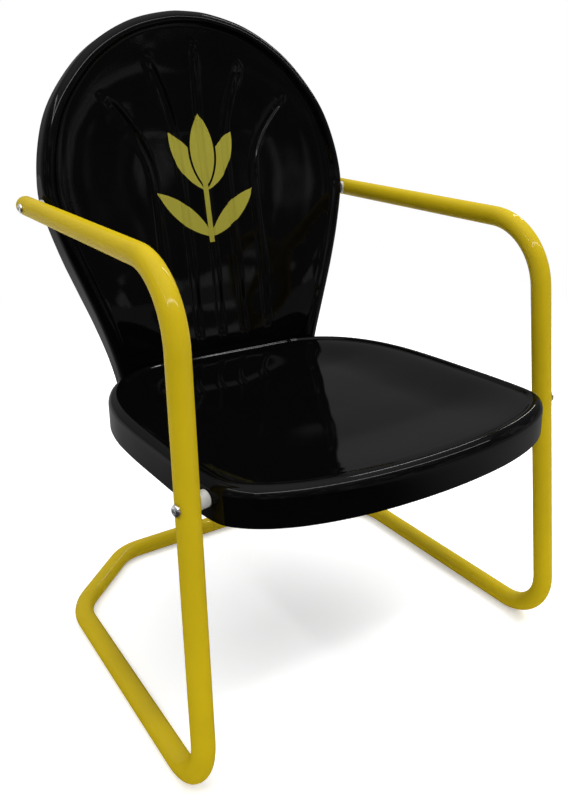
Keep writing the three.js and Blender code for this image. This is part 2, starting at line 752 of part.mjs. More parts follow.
// Lap bolts: they enter from behind, through the bottom of the back and the seat's rear skirt.
const lapHeadSeat = backFront + backCreaseDepth + sheetThickness + clearance;
const lapWasherStart = lapHeadSeat - (seatRear - sheetThickness - clearance);
const lapNutStart = lapWasherStart + washerThickness + clearance;
const lapReach = lapNutStart + nutHeight + boltTail;
const lapPlaces = lapBoltPlaceShares.map((share) => [share * seatHalfWidth, lapHeadSeat, lapBoltHeight]);
const lapHoles = () => lapPlaces.map((place) => alongY(rod(hole, -overrun, lapReach), place));

// Finishes
const frameEnamel = { color: frameColour, roughness: 0.25, metalness: 0 };
const shellEnamel = { color: shellColour, roughness: 0.15, metalness: 0 };
const zincSteel = { color: steelColour, roughness: 0.35, metalness: 1 };
const whitePlastic = { color: spacerColour, roughness: 0.5, metalness: 0 };

const chair = new THREE.Group();

function add(name, geometry, finish) {
  const mesh = new THREE.Mesh(geometry, new THREE.MeshStandardMaterial(finish));
  mesh.name = name;
  chair.add(mesh);
}

add('back_shell', cut(backSheet, [...lapHoles(), sideHole(-1, armBolt), sideHole(1, armBolt)]), shellEnamel);
add('seat_shell', cut(seatSheet, [...lapHoles(), sideHole(-1, legBolt), sideHole(1, legBolt)]), shellEnamel);
add('crossbar_sleeve', crossbarSleeve(), zincSteel);

for (const [end, side] of [['left', -1], ['right', 1]]) {
  add(`base_tube_${end}`, cut(baseTube(side), [sleeveHole(side)]), frameEnamel);
  add(`arm_tube_${end}`, armTube(side), frameEnamel);
  add(`arm_cap_${end}`, armCap(side), frameEnamel);
  add(`sleeve_screw_${end}`, sleeveScrew(side), zincSteel);
  for (const [limb, bolt] of [['arm', armBolt], ['leg', legBolt]]) {
    const atBolt = (geometry) => placeSidePiece(geometry, side, bolt);
    add(`${limb}_bolt_${end}`, atBolt(boltGeometry(bolt.headSeat, bolt.reach)), zincSteel);
    add(`${limb}_spacer_${end}`, spacer(side, bolt), whitePlastic);
    add(`${limb}_washer_${end}`, atBolt(washerGeometry(bolt.washerStart)), zincSteel);
    add(`${limb}_nut_${end}`, atBolt(nutGeometry(bolt.nutStart)), zincSteel);
  }
}

lapPlaces.forEach((place, i) => {
  add(`lap_bolt_${i + 1}`, alongY(boltGeometry(0, lapReach), place), zincSteel);
  add(`lap_washer_${i + 1}`, alongY(washerGeometry(lapWasherStart), place), zincSteel);
  add(`lap_nut_${i + 1}`, alongY(nutGeometry(lapNutStart), place), zincSteel);
});

// The origin is the middle of the chair's box, on the floor.
const box = new THREE.Box3().setFromObject(chair);
const middle = box.getCenter(new THREE.Vector3());
chair.position.set(-middle.x, -middle.y, -box.min.z);

const chairFrame = new THREE.Group();
chairFrame.add(chair);

export default chairFrame;
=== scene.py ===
# %% [markdown]
# # A pressed steel armchair on a springy tube frame
#
# The solids of this garden chair were drawn first, and they fix where everything is. This notebook dresses
# them: it makes the parts that the eye sees up close, gives each its finish, and sets up the photograph's
# camera and a plain white studio.
#
# Nothing is moved to make it fit. Blender and the solids share one frame: metres, Z up, the chair facing
# -Y, and the origin on the floor under the chair's middle.

# %% Load the solids
import math

import bmesh
import bpy
import numpy as np
from mathutils import Matrix, Quaternion, Vector


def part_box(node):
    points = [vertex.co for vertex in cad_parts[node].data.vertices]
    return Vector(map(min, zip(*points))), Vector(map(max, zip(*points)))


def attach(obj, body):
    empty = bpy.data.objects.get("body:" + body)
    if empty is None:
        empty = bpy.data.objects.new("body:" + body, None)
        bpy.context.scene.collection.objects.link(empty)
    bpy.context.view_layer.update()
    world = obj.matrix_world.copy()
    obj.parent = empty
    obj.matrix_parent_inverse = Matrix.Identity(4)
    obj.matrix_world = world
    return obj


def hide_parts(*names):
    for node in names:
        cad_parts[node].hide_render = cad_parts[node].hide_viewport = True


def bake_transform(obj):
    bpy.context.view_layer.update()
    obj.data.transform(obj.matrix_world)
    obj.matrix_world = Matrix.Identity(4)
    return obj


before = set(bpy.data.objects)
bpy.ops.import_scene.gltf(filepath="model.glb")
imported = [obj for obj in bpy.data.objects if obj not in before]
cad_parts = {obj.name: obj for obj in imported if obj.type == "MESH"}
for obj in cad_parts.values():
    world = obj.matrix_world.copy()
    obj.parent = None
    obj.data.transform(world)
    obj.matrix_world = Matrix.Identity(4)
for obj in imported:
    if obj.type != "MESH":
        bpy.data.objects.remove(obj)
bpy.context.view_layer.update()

# %% [markdown]
# ## Units
#
# A chair maker thinks in millimetres and measures depth from the front of the frame, and so do the numbers
# in this notebook. One function turns such places into Blender's metres. It finds the front of the frame
# from the solids themselves: the rear crossbar's middle lies 503 mm behind it.

# %% Millimetres from the front of the frame
BASE_DEPTH = 503
crossbar_low, crossbar_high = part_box("crossbar_sleeve")
FRAME_FRONT = (crossbar_low[1] + crossbar_high[1]) / 2 - BASE_DEPTH / 1000


def metres(places):
    """Places in millimetres from the front of the frame, as rows of metres from the origin."""
    return np.asarray(places, float) / 1000 + np.array([0, FRAME_FRONT, 0])


print("the front of the frame lies at y =", round(FRAME_FRONT, 4))

# %% [markdown]
# ## The camera
#
# The camera comes first, because it decides what needs care. Its place was solved from the photograph's own
# lines: the chair's tubes give the three directions, and the tube's diameter gives the scale. It stands
# left of the chair's front at standing height and looks down at it. The lens is a mild wide one, and
# the shift is small: it only stands for how the photograph was trimmed.

# %% Camera
PICTURE_WIDTH = 568
PICTURE_HEIGHT = 800
FOCAL_PIXELS = 775.33
TURN = math.radians(-34.97)
DOWN = math.radians(18.09)
ROLL = math.radians(0.26)
PICTURE_CENTRE = (316.42, 358.24)
SENSOR_HEIGHT = 24
CAMERA_PLACE = [-534.0, -579.1, 707.0]

camera = bpy.data.objects.new("camera", bpy.data.cameras.new("camera"))
bpy.context.scene.collection.objects.link(camera)
bpy.context.scene.camera = camera
camera.data.sensor_fit = "VERTICAL"
camera.data.sensor_height = SENSOR_HEIGHT
camera.data.lens = FOCAL_PIXELS * SENSOR_HEIGHT / PICTURE_HEIGHT
camera.data.shift_x = (PICTURE_WIDTH / 2 - PICTURE_CENTRE[0]) / PICTURE_HEIGHT
camera.data.shift_y = (PICTURE_CENTRE[1] - PICTURE_HEIGHT / 2) / PICTURE_HEIGHT
camera.matrix_world = (
    Matrix.Translation(metres(CAMERA_PLACE))
    @ Matrix.Rotation(TURN, 4, "Z")
    @ Matrix.Rotation(math.pi / 2 - DOWN, 4, "X")
    @ Matrix.Rotation(ROLL, 4, "Z")
)
shift = (round(camera.data.shift_x, 4), round(camera.data.shift_y, 4))
print("the lens is", round(camera.data.lens, 2), "mm, and its shift is", shift)

# %% [markdown]
# ## Helpers for nodes
#
# Materials and Geometry Nodes are both trees of nodes, so a few short helpers serve them all: one adds a
# node and feeds its inputs, one does a sum, and one makes a group with named inputs and outputs. Others
# stand for nodes that every finish needs, such as noise. A group is like a function: it is built once and
# used in each material with its own values.


# %% Nodes
def add_node(tree, kind, inputs=(), **settings):
    """Add a node. Its inputs are given by name or number, each a plain value or another node's output."""
    node = tree.nodes.new(kind)
    for name, value in settings.items():
        setattr(node, name, value)
    for name, value in dict(inputs).items():
        socket = node.inputs[name]
        if isinstance(value, bpy.types.NodeSocket):
            tree.links.new(value, socket)
        else:
            socket.default_value = value
    return node


def maths(tree, operation, *values, clamp=False):
    node = add_node(tree, "ShaderNodeMath", enumerate(values), operation=operation, use_clamp=clamp)
    return node.outputs[0]


def smooth_range(tree, value, low, high, to_low=0.0, to_high=1.0):
    """A value's smooth rise from to_low, where it is `low`, to to_high, where it is `high`."""
    inputs = {0: value, 1: low, 2: high, 3: to_low, 4: to_high}
    return add_node(tree, "ShaderNodeMapRange", inputs, interpolation_type="SMOOTHSTEP").outputs[0]


def mixed(tree, share, first, second):
    inputs = {0: share, 6: first, 7: second}
    return add_node(tree, "ShaderNodeMix", inputs, data_type="RGBA").outputs[2]


def noise(tree, place, scale, **inputs):
    """A noise texture's value at a place. A greater scale gives finer noise."""
    return add_node(tree, "ShaderNodeTexNoise", {"Vector": place, "Scale": scale, **inputs}).outputs[0]


def object_place(tree):
    return add_node(tree, "ShaderNodeTexCoord").outputs["Object"]


def split(tree, vector):
    """A vector's three parts, as outputs named X, Y and Z."""
    return add_node(tree, "ShaderNodeSeparateXYZ", {0: vector}).outputs


# %% Groups and materials
def new_group(name, kind, inputs, outputs):
    """A node group with named sockets: {name: (type, default)} going in and {name: type} coming out."""
    group = bpy.data.node_groups.new(name, kind)
    for label, (sort, default) in inputs.items():
        socket = group.interface.new_socket(label, in_out="INPUT", socket_type=f"NodeSocket{sort}")
        if default is not None:
            socket.default_value = default
    for label, sort in outputs.items():
        group.interface.new_socket(label, in_out="OUTPUT", socket_type=f"NodeSocket{sort}")
    given = group.nodes.new("NodeGroupInput").outputs
    made = group.nodes.new("NodeGroupOutput").inputs
    print(f"{name}: {len(inputs)} inputs and {len(outputs)} outputs")
    return group, given, made


def new_material(name):
    """An empty material, with the tree that its nodes go in and the Principled shader's node."""
    material = bpy.data.materials.new(name)
    print("new material:", material.name)
    material.use_nodes = True
    tree = material.node_tree
    return material, tree, tree.nodes["Principled BSDF"]


def use_group(tree, group, **values):
    """Place a group in a material. An underscore in a value's name stands for a space."""
    inputs = {name.replace("_", " "): value for name, value in values.items()}
    return add_node(tree, "ShaderNodeGroup", inputs, node_tree=group)


# %% [markdown]
# ## The enamel
#
# Shells and tubes are coated the same way: a colour baked on, with a clear, hard skin. Up close such a skin
# is never quite flat. It has the fine dimples called orange peel, and below them the slow waves of sheet
# that a press has bent. A little dust settles where a surface faces up.
#
# The group below makes those three from noise and the surface's own normal, so that the black and the
# yellow enamel share it with values of their own. Dust stops the skin from being a mirror, so it is also
# taken off the coat.

# %% Group: enamel skin
CLOUD_SCALE = 14.0
SPECK_SCALE = 420.0
DUST_COLOUR = (0.33, 0.31, 0.27, 1)
CLEAN_ROUGHNESS = 0.22
DUSTY_ROUGHNESS = 0.7
enamel_skin, given, made = new_group(
    "enamel skin",
    "ShaderNodeTree",
    {
        "Paint": ("Color", (0.5, 0.5, 0.5, 1)),
        "Deep Paint": ("Color", (0.4, 0.4, 0.4, 1)),
        "Gloss": ("Float", 0.2),
        "Dust": ("Float", 0.1),
        "Peel Size": ("Float", 0.0015),
        "Peel Height": ("Float", 0.00002),
        "Wave Size": ("Float", 0.06),
        "Wave Height": ("Float", 0.0002),
    },
    {"Colour": "Color", "Roughness": "Float", "Coat": "Float", "Normal": "Vector"},
)

# %% Nodes of the enamel skin
place = object_place(enamel_skin)
peel_scale = maths(enamel_skin, "DIVIDE", 1.0, given["Peel Size"])
wave_scale = maths(enamel_skin, "DIVIDE", 1.0, given["Wave Size"])
peel = noise(enamel_skin, place, peel_scale, Detail=1.0)
wave = noise(enamel_skin, place, wave_scale, Detail=0.0)
clouds = noise(enamel_skin, place, CLOUD_SCALE, Detail=4.0, Roughness=0.6)
specks = noise(enamel_skin, place, SPECK_SCALE, Detail=3.0, Roughness=0.7)
normal = add_node(enamel_skin, "ShaderNodeNewGeometry").outputs["Normal"]
upwards = split(enamel_skin, normal)["Z"]
faces_up = smooth_range(enamel_skin, upwards, 0.2, 1.0)
patches = smooth_range(enamel_skin, clouds, 0.35, 0.75)
grains = smooth_range(enamel_skin, specks, 0.45, 0.8, 0.3, 1.0)
dust = maths(enamel_skin, "MULTIPLY", maths(enamel_skin, "MULTIPLY", faces_up, patches), grains)
dust = maths(enamel_skin, "MULTIPLY", dust, given["Dust"], clamp=True)
paint = mixed(enamel_skin, patches, given["Paint"], given["Deep Paint"])
colour = mixed(enamel_skin, dust, paint, DUST_COLOUR)
slow = add_node(enamel_skin, "ShaderNodeBump", {"Distance": given["Wave Height"], "Height": wave})
fine = add_node(
    enamel_skin,
    "ShaderNodeBump",
    {"Distance": given["Peel Height"], "Height": peel, "Normal": slow.outputs[0]},
)
enamel_skin.links.new(colour, made["Colour"])
roughness = smooth_range(enamel_skin, dust, 0.0, 0.5, CLEAN_ROUGHNESS, DUSTY_ROUGHNESS)
enamel_skin.links.new(roughness, made["Roughness"])
coat = maths(enamel_skin, "MULTIPLY", given["Gloss"], maths(enamel_skin, "SUBTRACT", 1.0, dust))
enamel_skin.links.new(coat, made["Coat"])
enamel_skin.links.new(fine.outputs[0], made["Normal"])
print("enamel skin:", len(enamel_skin.nodes), "nodes")

# %% [markdown]
# ## Yellow enamel for the frame
#
# The shader stays in the material, and the group only feeds it. The pigment scatters light and has no
# gloss of its own, so the specular level is nought. All the shine comes from the coat, the clear skin
# over it. The photograph was taken in a mostly dark room, which is why the coat's weight is low: a full
# one would wash the colour out with reflections of the white studio.

# %% Yellow enamel
COAT_ROUGHNESS = 0.045
COAT_IOR = 1.5


def enamel(name, **values):
    """An enamel's material, its tree, its shader and the skin group that feeds it."""
    material, tree, shader = new_material(name)
    skin = use_group(tree, enamel_skin, **values)
    tree.links.new(skin.outputs["Colour"], shader.inputs["Base Color"])
    tree.links.new(skin.outputs["Roughness"], shader.inputs["Roughness"])
    tree.links.new(skin.outputs["Coat"], shader.inputs["Coat Weight"])
    tree.links.new(skin.outputs["Normal"], shader.inputs["Normal"])
    tree.links.new(skin.outputs["Normal"], shader.inputs["Coat Normal"])
    shader.inputs["Specular IOR Level"].default_value = 0.0
    shader.inputs["Coat Roughness"].default_value = COAT_ROUGHNESS
    shader.inputs["Coat IOR"].default_value = COAT_IOR
    return material, tree, shader, skin


yellow_enamel = enamel(
    "yellow enamel",
    Paint=(0.585, 0.428, 0.0105, 1),
    Deep_Paint=(0.545, 0.398, 0.0095, 1),
    Gloss=0.22,
    Dust=0.05,
    Peel_Size=0.0022,
    Peel_Height=0.00003,
    Wave_Size=0.05,
    Wave_Height=0.00012,
)[0]

# %% [markdown]
# ## Black enamel for the shells
#
# The same skin over black. On black, only the shine tells the shape, so its waves matter more: they bend
# the reflections of the lamps as pressed sheet does.

# %% Black enamel
BLACK_VALUES = dict(
    Paint=(0.0016, 0.0016, 0.0018, 1),
    Deep_Paint=(0.0010, 0.0010, 0.0011, 1),
    Gloss=0.22,
    Dust=0.004,
    Peel_Size=0.0020,
    Peel_Height=0.00002,
    Wave_Size=0.09,
    Wave_Height=0.0012,
)
black_enamel = enamel("black enamel", **BLACK_VALUES)[0]

# %% [markdown]
# ## The painted tulip
#
# The back has a painted ornament in the middle. Here it is a plain tulip: a pointed petal, two petals
# leaning out, a stem and two leaves. Each petal is where two circles overlap, a shape with an exact
# distance formula, so a node group can work it out from a point's place: across the chair and up it.
# Paint then goes where the distance is below nought, with an edge a fifth of a millimetre soft, as from
# a stencil.
#
# An image would be simpler to draw, but formulas stay sharp at any size.

# %% Group: petal shape
petal_shape, given, made = new_group(
    "petal shape",
    "ShaderNodeTree",
    {
        "Across": ("Float", 0.0),
        "Up": ("Float", 0.0),
        "Middle Across": ("Float", 0.0),
        "Middle Up": ("Float", 0.645),
        "Tilt": ("Float", 0.0),
        "Half Length": ("Float", 0.05),
        "Half Width": ("Float", 0.017),
    },
    {"Distance": "Float"},
)


def petal_sum(operation, *values):
    return maths(petal_shape, operation, *values)


across = petal_sum("SUBTRACT", given["Across"], given["Middle Across"])
up = petal_sum("SUBTRACT", given["Up"], given["Middle Up"])
cosine = petal_sum("COSINE", given["Tilt"])
sine = petal_sum("SINE", given["Tilt"])
along = petal_sum("ADD", petal_sum("MULTIPLY", across, sine), petal_sum("MULTIPLY", up, cosine))
aside = petal_sum("SUBTRACT", petal_sum("MULTIPLY", across, cosine), petal_sum("MULTIPLY", up, sine))
length_squared = petal_sum("POWER", given["Half Length"], 2.0)
width_squared = petal_sum("POWER", given["Half Width"], 2.0)
both_squares = petal_sum("ADD", length_squared, width_squared)
radius = petal_sum("DIVIDE", both_squares, petal_sum("MULTIPLY", given["Half Width"], 2.0))
offset = petal_sum("SUBTRACT", radius, given["Half Width"])
from_centre = petal_sum("ADD", petal_sum("ABSOLUTE", aside), offset)
squares = petal_sum("ADD", petal_sum("POWER", along, 2.0), petal_sum("POWER", from_centre, 2.0))
petal_shape.links.new(petal_sum("SUBTRACT", petal_sum("SQRT", squares), radius), made["Distance"])
print("petal shape:", len(petal_shape.nodes), "nodes")

# %% [markdown]
# The back's material is the black enamel again, with the tulip's paint laid over it. The second coat of
# paint was sprayed through a stencil, so it is less smooth than the enamel below: the coat is thinner
# there. Places alone would paint the sheet's rear side too, so the paint is also kept to where the
# surface's normal points to the front.

# %% Black enamel with a painted tulip
TULIP_PAINT = (0.36, 0.325, 0.045, 1)
TULIP_ROUGHNESS = 0.45
COAT_LOST_UNDER_TULIP = 0.5
# In millimetres: a petal's middle across the chair and up it, its tilt in degrees, half its length and width
MIDDLE_PETAL = (0, 642, 0, 52, 19)
GAP_ROUND_MIDDLE_PETAL = (0, 642, 0, 56, 22.5)
SIDE_PETAL = (27, 628, 30, 47, 15)
LEAF = (38, 553, 50, 52, 13)
# In metres, as the shader measures
SOFT_EDGE = 0.0001
STEM_TOP = 0.598
STEM_FOOT = 0.512
STEM_HALF_WIDTH = 0.004
back_enamel, tree, shader, skin = enamel("black enamel with a painted tulip", **BLACK_VALUES)
parts = split(tree, object_place(tree))
height = parts["Z"]
side = maths(tree, "ABSOLUTE", parts["X"])


def petal(middle_across, middle_up, tilt, half_length, half_width):
    node = use_group(
        tree,
        petal_shape,
        Across=side,
        Up=height,
        Middle_Across=middle_across / 1000,
        Middle_Up=middle_up / 1000,
        Tilt=math.radians(tilt),
        Half_Length=half_length / 1000,
        Half_Width=half_width / 1000,
    )
    return node.outputs["Distance"]


# %% The tulip's outline
middle_petal = petal(*MIDDLE_PETAL)
outside_gap = maths(tree, "MULTIPLY", petal(*GAP_ROUND_MIDDLE_PETAL), -1.0)
side_petal = maths(tree, "MAXIMUM", petal(*SIDE_PETAL), outside_gap)
leaf = petal(*LEAF)
stem_top = maths(tree, "SUBTRACT", height, STEM_TOP)
stem_foot = maths(tree, "SUBTRACT", STEM_FOOT, height)
stem_side = maths(tree, "SUBTRACT", side, STEM_HALF_WIDTH)
stem = maths(tree, "MAXIMUM", stem_side, maths(tree, "MAXIMUM", stem_top, stem_foot))
flower = maths(tree, "MINIMUM", middle_petal, side_petal)
tulip = maths(tree, "MINIMUM", flower, maths(tree, "MINIMUM", leaf, stem))
print("with the tulip's outline:", len(tree.nodes), "nodes")

# %% The tulip's paint
normal = add_node(tree, "ShaderNodeNewGeometry").outputs["Normal"]
faces_front = maths(tree, "LESS_THAN", split(tree, normal)["Y"], 0.0)
painted = maths(tree, "MULTIPLY", smooth_range(tree, tulip, SOFT_EDGE, -SOFT_EDGE), faces_front)
colour = mixed(tree, painted, skin.outputs["Colour"], TULIP_PAINT)
tree.links.new(colour, shader.inputs["Base Color"])
painted_rough = maths(tree, "MULTIPLY", painted, TULIP_ROUGHNESS)
rough = maths(tree, "MAXIMUM", skin.outputs["Roughness"], painted_rough)
tree.links.new(rough, shader.inputs["Roughness"])
thinner = maths(tree, "SUBTRACT", 1.0, maths(tree, "MULTIPLY", painted, COAT_LOST_UNDER_TULIP))
tree.links.new(maths(tree, "MULTIPLY", skin.outputs["Coat"], thinner), shader.inputs["Coat Weight"])
print("back's enamel:", len(tree.nodes), "nodes")

# %% [markdown]
# ## Zinc-plated steel and white nylon
#
# Bolts, nuts and washers are plated with zinc: a bright, slightly cloudy metal with fine tool marks. The
# spacers between tube and shell are moulded white nylon, dull, with a faint grain from the mould and a
# little grime. Their colour is a mid grey, well below white, as painted shade: the spacers sit in shade
# between tube and shell.

# %% Zinc steel
BRIGHT_ZINC = (0.86, 0.86, 0.87, 1)
CLOUDY_ZINC = (0.70, 0.70, 0.72, 1)
zinc_steel, tree, shader = new_material("zinc-plated steel")
place = object_place(tree)
clouds = noise(tree, place, 260.0, Detail=4.0)
scratches = noise(tree, place, 2200.0, Detail=2.0, Distortion=1.5)
colour = mixed(tree, smooth_range(tree, clouds, 0.3, 0.7), BRIGHT_ZINC, CLOUDY_ZINC)
tree.links.new(colour, shader.inputs["Base Color"])
tree.links.new(smooth_range(tree, clouds, 0.3, 0.7, 0.2, 0.38), shader.inputs["Roughness"])
marks = add_node(tree, "ShaderNodeBump", {"Distance": 0.00003, "Height": scratches})
tree.links.new(marks.outputs[0], shader.inputs["Normal"])
shader.inputs["Metallic"].default_value = 1.0
print("zinc-plated steel:", len(tree.nodes), "nodes")

# %% White nylon
# Painted shade: the clean nylon is a mid grey and not white, standing for the shade the spacers sit in.
CLEAN_NYLON_IN_PAINTED_SHADE = (0.50, 0.488, 0.462, 1)
GRIMY_NYLON = (0.38, 0.36, 0.325, 1)
white_nylon, tree, shader = new_material("white nylon")
place = object_place(tree)
grain = noise(tree, place, 1400.0, Detail=2.0)
grime = noise(tree, place, 90.0, Detail=3.0)
colour = mixed(tree, smooth_range(tree, grime, 0.45, 0.85), CLEAN_NYLON_IN_PAINTED_SHADE, GRIMY_NYLON)
tree.links.new(colour, shader.inputs["Base Color"])
tree.links.new(smooth_range(tree, grain, 0.3, 0.7, 0.42, 0.58), shader.inputs["Roughness"])
dents = add_node(tree, "ShaderNodeBump", {"Distance": 0.00004, "Height": grain})
tree.links.new(dents.outputs[0], shader.inputs["Normal"])
print("white nylon:", len(tree.nodes), "nodes")

# %% [markdown]
# ## Helpers for meshes
#
# Four helpers serve every piece. One makes an object from points and faces, with named values on its
# points for Geometry Nodes to read. One ends a Geometry Nodes tree: any instances become real and the
# result gets its material. One gives a modifier its tree and its inputs, which Blender stores by an
# identifier and not by name. One turns the evaluated result into a plain mesh and takes the modifiers
# off, because what is handed on must need no modifier.


# %% New objects
def new_object(name, points, edges=(), faces=(), values=None):
    """A mesh object from points in metres. `values` are {name: one number or vector for each point}."""
    mesh = bpy.data.meshes.new(name)
    mesh.from_pydata([tuple(p) for p in points], list(edges), [tuple(map(int, f)) for f in faces])
    for value_name, numbers in (values or {}).items():
        numbers = np.asarray(numbers, np.float32)
        kind, field = ("FLOAT", "value") if numbers.ndim == 1 else ("FLOAT_VECTOR", "vector")
        mesh.attributes.new(value_name, kind, "POINT").data.foreach_set(field, numbers.ravel())
    piece = bpy.data.objects.new(name, mesh)
    bpy.context.scene.collection.objects.link(piece)
    return piece


# %% Geometry Nodes on a mesh
def end_tree(tree, geometry, finish, socket):
    """Make a tree's result real, give it its material and put it out."""
    whole = add_node(tree, "GeometryNodeRealizeInstances", {"Geometry": geometry}).outputs[0]
    finished = add_node(tree, "GeometryNodeSetMaterial", {"Geometry": whole, "Material": finish})
    tree.links.new(finished.outputs[0], socket)


def add_tree(piece, tree, **values):
    """Put a tree on a piece, with its inputs. An underscore in a value's name stands for a space."""
    modifier = piece.modifiers.new(tree.name, "NODES")
    modifier.node_group = tree
    for item in tree.interface.items_tree:
        key = item.name.replace(" ", "_")
        if item.item_type == "SOCKET" and item.in_out == "INPUT" and key in values:
            modifier[item.identifier] = values[key]


# %% Final mesh
def settle(piece, sharp=40):
    """Make the piece's modifiers final, with its faces outwards and its sharp edges marked."""
    graph = bpy.context.evaluated_depsgraph_get()
    final = piece.evaluated_get(graph)
    mesh = bpy.data.meshes.new_from_object(final, preserve_all_data_layers=True, depsgraph=graph)
    piece.modifiers.clear()
    rough_mesh, piece.data = piece.data, mesh
    bpy.data.meshes.remove(rough_mesh)
    editable = bmesh.new()
    editable.from_mesh(mesh)
    bmesh.ops.remove_doubles(editable, verts=editable.verts, dist=1e-6)
    bmesh.ops.recalc_face_normals(editable, faces=editable.faces)
    editable.to_mesh(mesh)
    editable.free()
    mesh.shade_smooth()
    mesh.set_sharp_from_angle(angle=math.radians(sharp))
    mesh.name = piece.name
    triangles = sum(len(face.vertices) - 2 for face in mesh.polygons)
    print(f"{piece.name}: {triangles} triangles")
    return piece


# %% [markdown]
# ## The frame's tubes
#
# The real frame is steel tube bent cold on a machine, in one unbroken run on each side: from the middle of
# the crossbar behind, along the floor, up the front leg and back along the arm. Such a tube is a path
# and a few bend radii, and that is just what Geometry Nodes need: corners joined by straight lines, a
# Fillet Curve that rounds each corner with its own radius, and a circle swept along. The alternative, a
# bevelled curve object, can't give every corner its own radius.

# %% Tree: bent tube
bent_tube, given, made = new_group(
    "bent tube",
    "GeometryNodeTree",
    {
        "Corners": ("Geometry", None),
        "Tube Diameter": ("Float", 0.0254),
        "Ring Spacing": ("Float", 0.006),
        "Sides": ("Int", 48),
        "Bend Steps": ("Int", 40),
        "Finish": ("Material", None),
    },
    {"Tube": "Geometry"},
)
bent_tube.is_modifier = True

# %% Nodes of the bent tube
straight_runs = add_node(bent_tube, "GeometryNodeMeshToCurve", {0: given["Corners"]}).outputs[0]
bend_radius = add_node(
    bent_tube, "GeometryNodeInputNamedAttribute", {"Name": "bend_radius"}, data_type="FLOAT"
)
rounded = add_node(
    bent_tube,
    "GeometryNodeFilletCurve",
    {"Curve": straight_runs, "Count": given["Bend Steps"], "Radius": bend_radius.outputs[0]},
    mode="POLY",
).outputs[0]
ringed = add_node(
    bent_tube,
    "GeometryNodeResampleCurve",
    {"Curve": rounded, "Length": given["Ring Spacing"]},
    mode="LENGTH",
).outputs[0]
tube_radius = maths(bent_tube, "DIVIDE", given["Tube Diameter"], 2.0)
section = add_node(
    bent_tube, "GeometryNodeCurvePrimitiveCircle", {"Resolution": given["Sides"], "Radius": tube_radius}
).outputs[0]
swept = add_node(
    bent_tube, "GeometryNodeCurveToMesh", {"Curve": ringed, "Profile Curve": section, "Fill Caps": True}
).outputs[0]
smooth = add_node(bent_tube, "GeometryNodeSetShadeSmooth", {"Geometry": swept}).outputs[0]
end_tree(bent_tube, smooth, given["Finish"], made["Tube"])
print("bent tube:", len(bent_tube.nodes), "nodes")

# %% [markdown]
# The corners are measured on the tube's centre line, for the right side first. The left tube is its mirror
# image. Each corner carries the radius of its bend: the wide one is at the arm.

# %% Frame's sizes
TUBE_DIAMETER = 25.4
TUBE_RADIUS = TUBE_DIAMETER / 2
FRAME_WIDTH = 532.8
CROSSBAR_WIDTH = 314.4
SIDE_CORNER_DEPTH = 397.4
ARM_CORNER_DEPTH = 54.8
HALF_CROSSBAR_GAP = 0.3
REAR_BEND = 60
SIDE_BEND = 75
FLOOR_BEND = 64
ARM_BEND = 88
LEG_LEAN = 18
ARM_HEIGHT = 566.8
ARM_RISE = 12.6
ARM_SPREAD = 7.8
ARM_GAP = 3.3
BOLT_FROM_ARM_END = 30
CAP_DOME_HEIGHT = 7
SIDES = {"left": -1, "right": 1}

FRONT_CORNER = np.array([FRAME_WIDTH / 2, 0, TUBE_RADIUS])
ARM_CORNER = np.array([FRAME_WIDTH / 2 - LEG_LEAN, ARM_CORNER_DEPTH, ARM_HEIGHT])
arm_end_y = (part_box("arm_cap_right")[1][1] - FRAME_FRONT) * 1000
ARM_END = np.array([ARM_CORNER[0] + ARM_SPREAD, arm_end_y, ARM_HEIGHT + ARM_RISE])
arm_direction = (ARM_END - ARM_CORNER) / np.linalg.norm(ARM_END - ARM_CORNER)
CAP_SEAT = ARM_END - arm_direction * CAP_DOME_HEIGHT
ARM_BOLT = ARM_END + (ARM_CORNER - ARM_END) * BOLT_FROM_ARM_END / (arm_end_y - ARM_CORNER[1])
tube_corners = [
    ([HALF_CROSSBAR_GAP, BASE_DEPTH, TUBE_RADIUS], 0),
    ([CROSSBAR_WIDTH / 2, BASE_DEPTH, TUBE_RADIUS], REAR_BEND),
    ([FRAME_WIDTH / 2, SIDE_CORNER_DEPTH, TUBE_RADIUS], SIDE_BEND),
    (FRONT_CORNER, FLOOR_BEND),
    (ARM_CORNER, ARM_BEND),
    (CAP_SEAT, 0),
]
print("the arm ends", round(arm_end_y, 1), "mm behind the front of the frame")


# %% Frame tubes
def on_side(spot, side):
    """A place or direction of the right half, or its mirror image where side is -1."""
    return [side * spot[0], spot[1], spot[2]]


frame_tubes = {}
for name, side in SIDES.items():
    corners = metres([on_side(corner, side) for corner, radius in tube_corners])
    radii = [radius / 1000 for corner, radius in tube_corners]
    edges = [(i, i + 1) for i in range(len(corners) - 1)]
    tube = new_object(f"frame_tube_{name}", corners, edges, values={"bend_radius": radii})
    add_tree(tube, bent_tube, Tube_Diameter=TUBE_DIAMETER / 1000, Finish=yellow_enamel)
    frame_tubes[name] = settle(tube)

# %% [markdown]
# ## Turned and ringed pieces
#
# Caps, bolts, nuts, washers and spacers are all made of rings about a straight line, as on a lathe. One
# function builds such a piece from a list of rings. A ring is round, or follows a hexagon, which
# gives nuts and the socket in a bolt's head their flats. With 48 points to a ring, the hexagon's corners
# fall exactly on points. A spacer's first rings follow the round tube that it sits on.

# %% Pieces made of rings
RING_POINTS = 48


def ring_points(distance, radius, shape="round", saddle=0):
    """A ring's points at a distance along X. `saddle` is the radius of the tube along Z it sits on."""
    points = []
    for i in range(RING_POINTS):
        angle = 2 * math.pi * i / RING_POINTS
        reach = radius
        if shape == "hexagon":
            reach = radius / math.cos((angle + math.pi / 6) % (math.pi / 3) - math.pi / 6)
        y, z = reach * math.cos(angle), reach * math.sin(angle)
        x = distance if not saddle else math.sqrt(saddle**2 - y**2)
        points.append((x, y, z))
    return points


